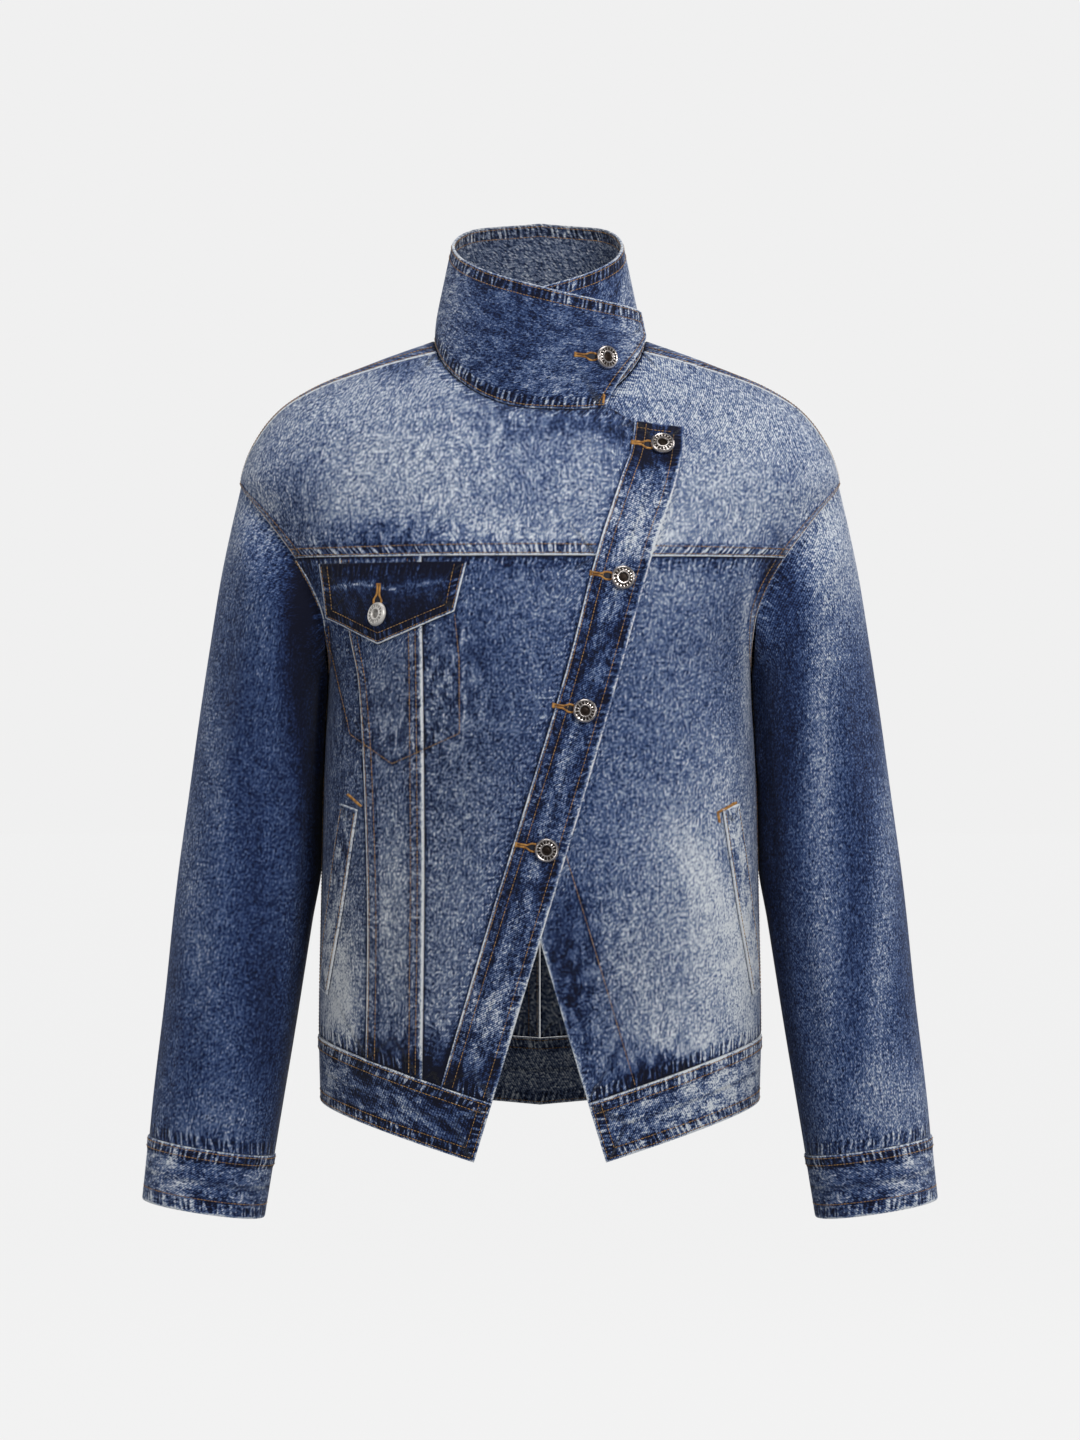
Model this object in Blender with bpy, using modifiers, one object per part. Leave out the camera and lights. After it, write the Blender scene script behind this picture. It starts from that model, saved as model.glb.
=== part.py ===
"""Denim jacket with a wrapped stand collar and a diagonal button band.

The jacket is hollow and filled out as on a wearer. Sizes are in millimetres and become
metres when a mesh is made. +Z is up, the front faces -Y, and the wearer's right is at -X.
The origin is between the two points where the shoulder seams meet the neck seam.

The body is one smooth surface, torso(angle, level). Angle is 0 at the centre front, 90 at
the wearer's left side and 180 at the centre back. Level is the height of a ring's side
point. The panels are patches of that surface, and what lies on a panel is moved out from it.
"""
import math
from collections import namedtuple

import bmesh
import bpy
from mathutils import Vector

MM = 0.001

# Cloth
CLOTH = 1.5
BAND_CLOTH = 2.3
COLLAR_CLOTH = 2.0
BAND_LIFT = 0.8
WAISTBAND_LIFT = 0.6
CUFF_LIFT = 0.5
SEAM_GAP = 0.3

# Levels of the seams
HEM = -560.0
WAIST_SEAM = -512.0
YOKE_SEAM = -163.5
ARM_TOP = -105.0
ARM_BOTTOM = -245.0
NECK = 0.0
ARM_MIDDLE = (ARM_TOP + ARM_BOTTOM) / 2
ARM_HALF = (ARM_TOP - ARM_BOTTOM) / 2

# The armhole, seen from the side: an egg, wider below
ARM_FRONT_DEPTH = 66.0
ARM_BACK_DEPTH = 72.0
ARM_SKEW = 0.2
SHOULDER_SEAM_FORWARD = 17.0
SHOULDER_SEAM_RUN = 30.0

# How far the two fronts part where one lies on the other
LAP_LIFT = 1.5
LAP_MARGIN = 40.0
LAP_RAMP = 35.0
LAP_NECK_START = -18.0
LAP_NECK_RAMP = 22.0

# Horizontal rings of the body. dip and roundness shape the way a ring drops from its
# side height to its front and back heights.
Ring = namedtuple("Ring", "level half_width front_depth back_depth front_z back_z corner dip roundness")
RINGS = (
    Ring(-560.0, 161.5, 118, 112, -611.0, -575.0, 2.6, 1.0, 1.0),
    Ring(-512.0, 162.5, 121, 114, -565.0, -524.0, 2.6, 1.0, 1.0),
    Ring(-400.0, 160.5, 125, 114, -428.0, -405.0, 2.6, 1.3, 1.0),
    Ring(-300.0, 158.5, 126, 115, -310.0, -302.0, 2.6, 1.6, 1.0),
    Ring(-245.0, 157.0, 125, 117, -248.0, -245.0, 2.6, 2.0, 1.0),
    Ring(-211.0, 169.0, 123, 118, -212.0, -209.0, 2.6, 2.0, 1.0),
    Ring(-181.0, 185.0, 119, 118, -181.0, -177.0, 2.6, 2.0, 1.0),
    Ring(-163.5, 194.0, 117, 117, -163.5, -158.0, 2.6, 2.0, 1.0),
    Ring(-126.0, 213.0, 108, 112, -135.0, -115.0, 2.5, 2.0, 1.0),
    Ring(-105.0, 221.0, 104, 108, -123.0, -92.0, 2.4, 2.0, 1.0),
    Ring(-89.0, 216.5, 100, 104, -113.0, -77.0, 2.4, 2.0, 1.0),
    Ring(-67.0, 205.0, 95, 98, -102.0, -58.0, 2.3, 2.0, 0.9),
    Ring(-52.0, 192.0, 90, 93, -93.0, -45.0, 2.3, 2.0, 0.9),
    Ring(-35.5, 168.0, 83, 86, -82.0, -30.0, 2.2, 2.0, 0.8),
    Ring(-15.0, 120.0, 73, 75, -67.0, -10.0, 2.1, 2.0, 0.7),
    Ring(0.0, 78.0, 64, 66, -55.4, 3.0, 2.1, 2.0, 0.6),
)

# The stand collar's top edge, if it went straight round
COLLAR_TOP = Ring(73.0, 62.5, 54, 58, 34.5, 93.5, 2.1, 2.0, 0.6)

# Lines on the fronts, as seen from the front. Right front; the left front mirrors them.
SeamPoint = namedtuple("SeamPoint", "z x")
FRONT_EDGE = (
    SeamPoint(-640.0, -60.5), SeamPoint(-595.0, -47.0), SeamPoint(-554.0, -34.5),
    SeamPoint(-440.0, -0.5), SeamPoint(-300.0, 41.5), SeamPoint(-166.0, 79.0),
    SeamPoint(-91.0, 101.5), SeamPoint(-69.0, 104.0),
)
BAND_SEAM = (
    SeamPoint(-560.0, -76.0), SeamPoint(-437.0, -40.0), SeamPoint(-346.0, -12.0),
    SeamPoint(-238.0, 20.5), SeamPoint(-159.0, 41.0), SeamPoint(-106.0, 58.5),
    SeamPoint(-86.0, 65.5), SeamPoint(-65.5, 68.5),
)
STRIP_OUTER_SEAM = (
    SeamPoint(-560.0, -125.5), SeamPoint(-427.0, -123.5), SeamPoint(-324.0, -126.0),
    SeamPoint(-255.0, -131.0), SeamPoint(-217.0, -138.5), SeamPoint(-150.0, -146.0),
)
STRIP_INNER_SEAM = (
    SeamPoint(-560.0, -84.5), SeamPoint(-388.0, -82.5), SeamPoint(-150.0, -84.5),
)

# Upper edge of each front past the centre, where it crosses to the other side
NeckPoint = namedtuple("NeckPoint", "x z")
RIGHT_NECKLINE = (
    NeckPoint(0.0, -55.6), NeckPoint(24.0, -56.0), NeckPoint(48.0, -54.5), NeckPoint(68.5, -65.5),
    NeckPoint(104.0, -69.5),
)
LEFT_NECKLINE = (
    NeckPoint(0.0, -55.6), NeckPoint(25.0, -53.5), NeckPoint(36.0, -61.0), NeckPoint(68.5, -70.0),
    NeckPoint(104.0, -74.0),
)

# Height of the collar's top edge round the neck, for the end that lies on top
CollarPoint = namedtuple("CollarPoint", "angle z")
COLLAR_EDGE = (
    CollarPoint(-180.0, 93.5), CollarPoint(-135.0, 88.0), CollarPoint(-90.0, 71.5),
    CollarPoint(-60.0, 57.0), CollarPoint(-30.0, 44.5), CollarPoint(0.0, 35.0),
    CollarPoint(30.0, 27.5), CollarPoint(60.0, 23.0), CollarPoint(85.0, 20.5),
)

# Each collar end: where it leaves the neckline and where it stops round the neck
CollarEnd = namedtuple("CollarEnd", "side neck_x foot_angle tip_angle lift")
COLLAR_ENDS = {
    "right": CollarEnd(1, 48.0, 38.0, 84.0, 2.4),
    "left": CollarEnd(-1, 25.0, 19.0, 21.0, -1.2),
}
COLLAR_CORNER = 0.75
COLLAR_SWEEP_START = 0.7
COLLAR_SWEEP_POWER = 1.6
COLLAR_FLARE = 0.35
COLLAR_LIFT_START = -150.0
COLLAR_LIFT_RUN = 70.0

# Cross-sections of a sleeve below the armhole, on the wearer's right: where its outer and
# inner lines lie as seen from the front, how far back its middle is, and its half depth
Section = namedtuple("Section", "outer_x outer_z inner_x inner_z middle_y half_depth")
SLEEVE_SECTIONS = (
    Section(228.5, -140.0, 158.6, -262.0, 5, 71),
    Section(236.0, -175.0, 159.4, -280.0, 8, 71),
    Section(245.0, -229.0, 160.0, -312.0, 12, 70),
    Section(253.0, -280.0, 160.6, -345.0, 14, 68),
    Section(260.5, -333.0, 161.8, -385.0, 14, 65),
    Section(269.0, -397.5, 169.0, -430.0, 12, 61),
    Section(278.0, -486.0, 181.0, -507.0, 8, 54),
    Section(287.0, -565.0, 193.0, -580.0, 4, 47),
    Section(289.0, -587.0, 196.5, -601.5, 3, 45),
)
CUFF_SECTIONS = (
    Section(289.3, -587.4, 196.6, -601.9, 3, 45),
    Section(294.0, -634.0, 204.0, -648.0, 1, 43),
)
SLEEVE_CORNER = 2.15
SLEEVE_RUN_ON = 2.5
UNDER_ARM_LIFT = 0.9
UNDER_ARM_TURN = 1.3

# Soft folds along a sleeve: angle round it from its outer line, towards the front
Fold = namedtuple("Fold", "angle start end half_angle depth")
SLEEVE_FOLDS = (
    Fold(52, 0.10, 0.62, 13, 3.0),
    Fold(84, 0.22, 0.80, 12, 2.4),
    Fold(118, 0.12, 0.55, 13, 3.2),
    Fold(128, 0.55, 0.95, 12, 2.6),
    Fold(62, 0.58, 0.97, 12, 2.2),
    Fold(238, 0.14, 0.70, 14, 3.4),
    Fold(278, 0.30, 0.92, 13, 2.8),
    Fold(312, 0.08, 0.55, 13, 2.6),
)
# Soft folds down the body: angle from the centre front on either side, and levels
BODY_FOLDS = (
    Fold(52, -330, -40, 9, 2.2),
    Fold(118, -470, -150, 10, 2.6),
    Fold(150, -430, -190, 10, 2.0),
)

# The chest flap on the right front, as seen from the front
FLAP_TOP_Z = -168.0
FLAP_TOP_LEFT_X = -159.0
FLAP_TOP_RIGHT_X = -52.0
FLAP_BOTTOM = (NeckPoint(-154.0, -206.5), NeckPoint(-115.0, -226.0), NeckPoint(-60.5, -203.5))
FLAP_LIFT = 3.4
FLAP_CLOTH = 1.7

# A pocket welt, on the wearer's right, as seen from the front, from its top down
WeltRow = namedtuple("WeltRow", "z inner_x outer_x")
WELT_ROWS = (
    WeltRow(-345.0, -130.5, -142.5),
    WeltRow(-380.0, -136.0, -148.0),
    WeltRow(-418.0, -142.0, -153.0),
    WeltRow(-450.0, -148.0, -157.0),
    WeltRow(-480.0, -153.5, -159.5),
)
WELT_DROP = 4.0
WELT_LIFT = 2.3
WELT_CLOTH = 1.5

# Buttons: radius and height from the real button's axis, from the top centre down its side
ProfilePoint = namedtuple("ProfilePoint", "radius height")
BUTTON_PROFILE = (
    ProfilePoint(0.0, 1.5), ProfilePoint(2.5, 1.5), ProfilePoint(3.4, 3.0), ProfilePoint(5.0, 3.9),
    ProfilePoint(7.2, 3.6), ProfilePoint(8.7, 2.0), ProfilePoint(8.3, 0.7), ProfilePoint(6.5, 0.0),
    ProfilePoint(0.0, 0.0),
)
BUTTON_STEPS = 16
BUTTON_SEAT = 0.6
BandButton = namedtuple("BandButton", "name x z")
BAND_BUTTONS = (
    BandButton("button_top", 88.0, -83.5),
    BandButton("button_chest", 58.8, -179.3),
    BandButton("button_waist", 31.7, -274.0),
    BandButton("button_low", 4.8, -373.0),
)
FLAP_BUTTON = BandButton("button_flap", -117.0, -204.0)
COLLAR_BUTTON = BandButton("button_collar", 46.7, -17.0)

# Mesh density
BODY_ROWS = 9
ARM_ROWS = 8
SHOULDER_ROWS = 8
BACK_COLUMNS = 12
SIDE_COLUMNS = 5
BAND_COLUMNS = 2
LEFT_COLUMNS = 14
OWN_NECK_COLUMNS = 7
RIGHT_NECK_COLUMNS = (0.0, 16.0, 32.0, 48.0, 58.0, 68.5)
LEFT_NECK_COLUMNS = (0.0, 12.5, 25.0, 36.0, 52.0, 68.5, 86.0, 104.0)
WAISTBAND_ROWS = 3
WAISTBAND_COLUMNS = 54
SLEEVE_ROUND = 4 * ARM_ROWS
SLEEVE_ROWS = 20
SLEEVE_CROWD = 1.25
CUFF_ROWS = 2
COLLAR_COLUMNS = 26
COLLAR_ROWS = 6
FLAP_ROWS = 3
FLAP_COLUMNS = 4
BISECTIONS = 40
NORMAL_STEP = 0.5
SHARP_ANGLE = math.radians(40)

DENIM_BLUE = (0.10, 0.17, 0.36, 1.0)
DENIM_PALE = (0.26, 0.34, 0.50, 1.0)
DENIM_DARK = (0.03, 0.05, 0.15, 1.0)
METAL_SILVER = (0.55, 0.54, 0.52, 1.0)


def smooth_curve(stations, values):
    """A monotone cubic through a short table."""
    steps = [b - a for a, b in zip(stations, stations[1:])]
    slopes = [(b - a) / step for a, b, step in zip(values, values[1:], steps)]
    tangents = [slopes[0]]
    for before, after, left, right in zip(slopes, slopes[1:], steps, steps[1:]):
        if before * after <= 0:
            tangents.append(0.0)
        else:
            near, far = 2 * right + left, right + 2 * left
            tangents.append((near + far) / (near / before + far / after))
    tangents.append(slopes[-1])

    def value(station):
        station = min(max(station, stations[0]), stations[-1])
        i = 0
        while i < len(steps) - 1 and station > stations[i + 1]:
            i += 1
        t = (station - stations[i]) / steps[i]
        rise = steps[i] * (t * (1 - t) ** 2 * tangents[i] - t * t * (1 - t) * tangents[i + 1])
        ease = t * t * (3 - 2 * t)
        return values[i] + (values[i + 1] - values[i]) * ease + rise

    return value


def smooth_step(x):
    """0 below 0, 1 above 1, and a soft rise between."""
    x = min(max(x, 0.0), 1.0)
    return x * x * (3 - 2 * x)


def blend(a, b, t):
    return a + (b - a) * t


def bisect(function, low, high):
    """The point between low and high where a rising function crosses zero."""
    for _ in range(BISECTIONS):
        middle = (low + high) / 2
        if function(middle) < 0:
            low = middle
        else:
            high = middle
    return (low + high) / 2


ClothPoint = namedtuple("ClothPoint", "place outward")
RING_CURVES = [smooth_curve([ring.level for ring in RINGS], [ring[i] for ring in RINGS]) for i in range(9)]
front_edge = smooth_curve(*zip(*FRONT_EDGE))
band_seam = smooth_curve(*zip(*BAND_SEAM))
strip_outer_seam = smooth_curve(*zip(*STRIP_OUTER_SEAM))
strip_inner_seam = smooth_curve(*zip(*STRIP_INNER_SEAM))
collar_edge = smooth_curve(*zip(*COLLAR_EDGE))
NECKLINES = {1: smooth_curve(*zip(*RIGHT_NECKLINE)), -1: smooth_curve(*zip(*LEFT_NECKLINE))}
ring_store = {}


def ring_at(level):
    """The body's ring at any level."""
    if level not in ring_store:
        ring_store[level] = Ring(*(curve(level) for curve in RING_CURVES))
    return ring_store[level]


def ring_point(ring, side_z, angle):
    """A point of a ring, from its sizes."""
    sine, cosine = math.sin(math.radians(angle)), math.cos(math.radians(angle))
    reach = (abs(sine) ** ring.corner + abs(cosine) ** ring.corner) ** (-1 / ring.corner)
    depth, end_z = (ring.front_depth, ring.front_z) if cosine > 0 else (ring.back_depth, ring.back_z)
    across = min(abs(sine) * reach, 1.0)
    drop = (1 - across ** ring.dip) ** ring.roundness
    return Vector((ring.half_width * sine * reach, -depth * cosine * reach, blend(side_z, end_z, drop)))


def torso(angle, level):
    """A point of the body's surface."""
    return ring_point(ring_at(level), level, angle)


def surface_normal(surface, angle, level, angle_step=NORMAL_STEP):
    """The outward normal of a surface given as a function of angle and level."""
    along = surface(angle + angle_step, level) - surface(angle - angle_step, level)
    up = surface(angle, level + NORMAL_STEP) - surface(angle, level - NORMAL_STEP)
    return along.cross(up).normalized()


def body_normal(angle, level):
    """The outward normal of the body, also at its topmost and lowest rings."""
    level = min(max(level, HEM + 2 * NORMAL_STEP), NECK - 2 * NORMAL_STEP)
    return surface_normal(torso, angle, level)


def fold_depth(folds, angle, along):
    """How deep the soft folds are at a place."""
    depth = 0.0
    for fold in folds:
        across = (angle - fold.angle) / fold.half_angle
        run = (along - fold.start) / (fold.end - fold.start)
        if abs(across) < 2.5 and 0 < run < 1:
            depth += fold.depth * math.exp(-across * across) * math.sin(math.pi * run) ** 2
    return depth


def lap_share(x, z):
    """1 where the fronts lie on each other, for a front whose own side is at -X."""
    past_hidden_edge = x + front_edge(z)
    below_neck = smooth_step((LAP_NECK_START - z) / LAP_NECK_RAMP)
    return smooth_step((past_hidden_edge + LAP_MARGIN) / LAP_RAMP) * below_neck


def body_cloth(angle, level, lift=0.0, lap=0):
    """A cloth point of the body, moved out along its normal. lap is 1 for a front that lies
    on top, -1 for one that lies underneath, and 0 elsewhere."""
    place = torso(angle, level)
    if lap:
        lift += lap * LAP_LIFT * lap_share(place.x, place.z)
    own_angle = abs(angle) if angle > -180 else abs(angle + 360)
    lift -= fold_depth(BODY_FOLDS, own_angle, level)
    outward = body_normal(angle, level)
    return ClothPoint(place + outward * lift, outward)


def on_front(x, z):
    """The angle and level of the front's point that is seen at x and z."""
    def across(level):
        return min(abs(x) / ring_at(level).half_width, 1.0)

    def height(level):
        ring = ring_at(level)
        return blend(level, ring.front_z, (1 - across(level) ** ring.dip) ** ring.roundness) - z

    level = bisect(height, HEM, NECK)
    corner = ring_at(level).corner
    angle = math.degrees(math.atan2(across(level), (1 - across(level) ** corner) ** (1 / corner)))
    return math.copysign(angle, x), level


def angle_at_depth(level, depth, front=True):
    """The angle from the centre front, or back, at which a ring is this deep."""
    ring = ring_at(level)
    share = min(abs(depth) / (ring.front_depth if front else ring.back_depth), 1.0)
    across = (1 - share ** ring.corner) ** (1 / ring.corner)
    return math.degrees(math.atan2(across, share))


def angle_on_line(line, level, offset):
    """The angle at which a level of the front crosses a line, given as x for each z."""
    def past(angle):
        place = torso(angle, level)
        return place.x - line(place.z) - offset

    return bisect(past, -89.0, 89.0)


def armhole_depth(level, depth):
    """How deep the armhole is at a level."""
    along = (level - ARM_MIDDLE) / ARM_HALF
    along = min(max(along, -1.0), 1.0)
    return depth * math.sqrt(1 - along * along) * (1 - ARM_SKEW * along)


def gap_angle(level):
    """Half a seam gap as an angle at the body's side."""
    return math.degrees(SEAM_GAP / 2 / ring_at(level).front_depth)


def shoulder_seam_forward(level):
    """How far in front of the shoulder's ridge its seam lies."""
    return SHOULDER_SEAM_FORWARD * smooth_step((level - ARM_TOP) / SHOULDER_SEAM_RUN)


def front_side_angle(level):
    """Where a front ends at its own side: side seam, armhole or shoulder seam."""
    if level <= ARM_BOTTOM:
        return -90.0 + gap_angle(level)
    if level < ARM_TOP:
        return -angle_at_depth(level, armhole_depth(level, ARM_FRONT_DEPTH)) + gap_angle(level)
    return -angle_at_depth(level, shoulder_seam_forward(level)) + 2 * gap_angle(level)


def back_side_angle(level):
    """Where a back ends at its own side."""
    if level <= ARM_BOTTOM:
        return -90.0 - gap_angle(level)
    if level < ARM_TOP:
        depth = armhole_depth(level, ARM_BACK_DEPTH)
        return -180.0 + angle_at_depth(level, depth, front=False) - gap_angle(level)
    return -angle_at_depth(level, shoulder_seam_forward(level))


def even(count):
    return [i / count for i in range(count + 1)]


def crowded(count):
    """Places from 0 to 1 that crowd at both ends."""
    return [(1 - math.cos(math.pi * place)) / 2 for place in even(count)]


def mirrored(point, side):
    return Vector((point.x * side, point.y, point.z))


def add_object(name, mesh, colour, roughness, metallic):
    """A named part with a material of its own."""
    material = bpy.data.materials.new(name + "_finish")
    material.use_nodes = True
    shader = material.node_tree.nodes["Principled BSDF"]
    shader.inputs["Base Color"].default_value = colour
    shader.inputs["Roughness"].default_value = roughness
    shader.inputs["Metallic"].default_value = metallic
    mesh.materials.append(material)
    part = bpy.data.objects.new(name, mesh)
    jacket.objects.link(part)
    return part


def cloth_piece(name, grid, side, thickness, colour, round_closed=False):
    """A wall of cloth from rows of cloth points, its thickness on the inside. The walls that
    meet in a seam share its normals, so their edges stay parallel and apart."""
    rows, columns = len(grid), len(grid[0])
    points = [point for row in grid for point in row]
    outer = [mirrored(point.place, side) * MM for point in points]
    inner = [mirrored(point.place - point.outward * thickness, side) * MM for point in points]
    wall = bmesh.new()
    outer = [wall.verts.new(place) for place in outer]
    inner = [wall.verts.new(place) for place in inner]
    inside_of = dict(zip(outer, inner))
    for i in range(rows - 1):
        for j in range(columns if round_closed else columns - 1):
            k = (j + 1) % columns
            low, high = i * columns, (i + 1) * columns
            corners = (low + j, low + k, high + k, high + j)
            wall.faces.new([outer[c] for c in corners])
            wall.faces.new([inner[c] for c in reversed(corners)])
    for edge in [edge for edge in wall.edges if edge.is_boundary and edge.verts[0] in inside_of]:
        a, b = edge.verts
        wall.faces.new((a, b, inside_of[b], inside_of[a]))
    bmesh.ops.recalc_face_normals(wall, faces=wall.faces)
    mesh = bpy.data.meshes.new(name)
    wall.to_mesh(mesh)
    wall.free()
    mesh.shade_smooth()
    mesh.set_sharp_from_angle(angle=SHARP_ANGLE)
    return add_object(name, mesh, colour, 0.9, 0.0)


def front_levels():
    """Levels of a front's rows, from the waist seam to the yoke seam."""
    under_yoke = [blend(ARM_BOTTOM, ARM_TOP, place) for place in crowded(ARM_ROWS)]
    body = [blend(WAIST_SEAM + SEAM_GAP / 2, ARM_BOTTOM, place) for place in even(BODY_ROWS)]
    armhole = [level for level in under_yoke[1:] if level < YOKE_SEAM - SEAM_GAP]
    return body + armhole + [YOKE_SEAM - SEAM_GAP / 2]


def yoke_shares():
    """Rows of a yoke as shares of its height, one of them at the shoulder point."""
    levels = [blend(ARM_BOTTOM, ARM_TOP, place) for place in crowded(ARM_ROWS)]
    below = [level for level in levels if level > YOKE_SEAM + SEAM_GAP]
    above = [blend(ARM_TOP, NECK, place) for place in even(SHOULDER_ROWS)[1:]]
    return [0.0] + [(level - YOKE_SEAM) / (NECK - YOKE_SEAM) for level in below + above]


def line_angles(line, offset):
    """Where each row of a lower front crosses a line."""
    return [angle_on_line(line, level, offset) for level in front_levels()]


def lower_panel(name, side, left, right, columns, colour, lift=0.0, lap=1):
    """A piece below the yoke, between two lists of angles, one for each row. Where the left
    edge turns in along the armhole, only the columns near it follow."""
    grid = []
    for level, first, last in zip(front_levels(), left, right):
        turned_in = first - left[0]
        angles = [blend(left[0], last, place) + turned_in * (1 - place) ** 2 for place in even(columns)]
        grid.append([body_cloth(angle, level, lift, lap) for angle in angles])
    cloth_piece(name, grid, side, CLOTH + lift, colour)


def yoke_panel(name, side, lap, end_line, neck_columns, colour):
    """A front's yoke: a patch between its side, the neck, its front end and the yoke seam.
    Each border is a list of angle and level pairs, and the rest is blended from them."""
    gap = SEAM_GAP / 2
    shares = yoke_shares()
    side_levels = [blend(YOKE_SEAM + gap, NECK - gap, share) for share in shares]
    side_edge = [Vector((front_side_angle(level), level)) for level in side_levels]
    end_heights = [blend(YOKE_SEAM + gap, neck_columns[-1].z, share) for share in shares]
    end_edge = [Vector(on_front(end_line(z) - gap, z)) for z in end_heights]
    neck_angles = [blend(side_edge[-1].x, 0.0, place) for place in even(OWN_NECK_COLUMNS)]
    top = [Vector((angle, NECK - gap)) for angle in neck_angles]
    top += [Vector(on_front(point.x, point.z - gap)) for point in neck_columns[1:-1]]
    top.append(end_edge[-1])
    count = len(top) - 1
    bottom = [side_edge[0].lerp(end_edge[0], place) for place in even(count)]
    grid = []
    for share, first, last in zip(shares, side_edge, end_edge):
        row = []
        for place, low, high in zip(even(count), bottom, top):
            corners = bottom[0].lerp(bottom[-1], place).lerp(top[0].lerp(top[-1], place), share)
            angle, level = first.lerp(last, place) + low.lerp(high, share) - corners
            row.append(body_cloth(angle, level, 0.0, lap))
        grid.append(row)
    cloth_piece(name, grid, side, CLOTH, colour)


def neck_stations(neckline, xs):
    """Points of a front's upper edge past the centre."""
    return [NeckPoint(x, neckline(x)) for x in xs]


def make_right_front():
    """The right front: a yoke over a side piece, a raised strip and a centre piece."""
    gap = SEAM_GAP / 2
    side_angles = [front_side_angle(level) for level in front_levels()]
    strip_angles = [line_angles(strip_outer_seam, gap), line_angles(strip_inner_seam, -gap)]
    centre_angles = [line_angles(strip_inner_seam, gap), line_angles(band_seam, -gap)]
    side_angles = [side_angles, line_angles(strip_outer_seam, -gap)]
    lower_panel("front_right_side", 1, *side_angles, SIDE_COLUMNS, DENIM_BLUE)
    lower_panel("front_right_strip", 1, *strip_angles, BAND_COLUMNS, DENIM_PALE, BAND_LIFT)
    lower_panel("front_right_centre", 1, *centre_angles, SIDE_COLUMNS, DENIM_BLUE)
    stations = neck_stations(NECKLINES[1], RIGHT_NECK_COLUMNS)
    yoke_panel("yoke_front_right", 1, 1, band_seam, stations, DENIM_PALE)


def make_left_front():
    """The left front: a yoke over one piece, both running on under the right front."""
    side_angles = [front_side_angle(level) for level in front_levels()]
    edge_angles = line_angles(front_edge, 0.0)
    lower_panel("front_left", -1, side_angles, edge_angles, LEFT_COLUMNS, DENIM_BLUE, lap=-1)
    stations = neck_stations(NECKLINES[-1], LEFT_NECK_COLUMNS)
    yoke_panel("yoke_front_left", -1, -1, front_edge, stations, DENIM_PALE)


def make_placket():
    """The diagonal band on the right front's edge, from the waist seam to its top end."""
    gap = SEAM_GAP / 2
    places = []
    for level in front_levels():
        inner, outer = angle_on_line(band_seam, level, gap), angle_on_line(front_edge, level, 0.0)
        places.append(((inner, level), (outer, level)))
    inner_top, outer_top = NECKLINES[1](RIGHT_NECK_COLUMNS[-1]), RIGHT_NECKLINE[-1].z
    for share in yoke_shares()[1:]:
        inner_z, outer_z = blend(YOKE_SEAM, inner_top, share), blend(YOKE_SEAM, outer_top, share)
        places.append((on_front(band_seam(inner_z) + gap, inner_z), on_front(front_edge(outer_z), outer_z)))
    grid = []
    for first, last in places:
        row = [Vector(first).lerp(Vector(last), place) for place in even(BAND_COLUMNS)]
        grid.append([body_cloth(angle, level, BAND_LIFT, 1) for angle, level in row])
    cloth_piece("placket_right", grid, 1, BAND_CLOTH, DENIM_DARK)


def make_back(side, name):
    """Half of the back, from the waist seam to the neck and over to the shoulder seam."""
    gap = SEAM_GAP / 2
    levels = [blend(WAIST_SEAM + gap, ARM_BOTTOM, place) for place in even(BODY_ROWS)]
    levels += [blend(ARM_BOTTOM, ARM_TOP, place) for place in crowded(ARM_ROWS)[1:]]
    levels += [blend(ARM_TOP, NECK - gap, place) for place in even(SHOULDER_ROWS)[1:]]
    centre, side_seam = -180.0 + gap_angle(WAIST_SEAM), back_side_angle(levels[0])
    grid = []
    for level in levels:
        turned_in = back_side_angle(level) - side_seam
        angles = [blend(centre, side_seam, place) + turned_in * place ** 2 for place in even(BACK_COLUMNS)]
        grid.append([body_cloth(angle, level) for angle in angles])
    cloth_piece(name, grid, side, CLOTH, DENIM_BLUE)


def waistband_cloth(angle, level):
    """A cloth point of the waistband. Each half is laid out like its own front."""
    side = 1 if angle > -180 else -1
    own_angle = angle if side > 0 else -360.0 - angle
    point = body_cloth(own_angle, level, WAISTBAND_LIFT, side if own_angle > -90 else 0)
    return ClothPoint(mirrored(point.place, side), mirrored(point.outward, side))


def make_waistband():
    """One band from the right front's end round the back to the left front's end."""
    grid = []
    for place_up in even(WAISTBAND_ROWS):
        level = blend(HEM, WAIST_SEAM - SEAM_GAP / 2, place_up)
        end = angle_on_line(front_edge, level, 0.0)
        angles = [blend(-360.0 - end, end, place) for place in even(WAISTBAND_COLUMNS)]
        grid.append([waistband_cloth(angle, level) for angle in angles])
    cloth_piece("waistband", grid, 1, CLOTH + 2 * WAISTBAND_LIFT, DENIM_DARK)


def with_normals(grid, round_closed=False):
    """Cloth points for rows of places, with normals from their neighbours."""
    rows, columns = len(grid), len(grid[0])
    cloth = []
    for i, row in enumerate(grid):
        below, above = grid[max(i - 1, 0)], grid[min(i + 1, rows - 1)]
        points = []
        for j, place in enumerate(row):
            before = row[j - 1] if round_closed or j > 0 else place
            after = row[(j + 1) % columns] if round_closed or j < columns - 1 else place
            outward = (after - before).cross(above[j] - below[j]).normalized()
            points.append(ClothPoint(place, outward))
        cloth.append(points)
    return cloth


def collar_cone(angle, z):
    """A point of the collar's own surface at a height."""
    foot, top = ring_at(NECK), COLLAR_TOP
    foot_z = ring_point(foot, NECK, angle).z
    top_z = ring_point(top, top.level, angle).z
    rise = min(max((z - foot_z) / (top_z - foot_z), 0.0), 1.1)
    ring = Ring(*(blend(a, b, rise) for a, b in zip(foot, top)))
    place = ring_point(ring, ring.level, angle)
    return Vector((place.x, place.y, z))


def collar_normal(angle, z):
    return surface_normal(collar_cone, angle, z)


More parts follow.
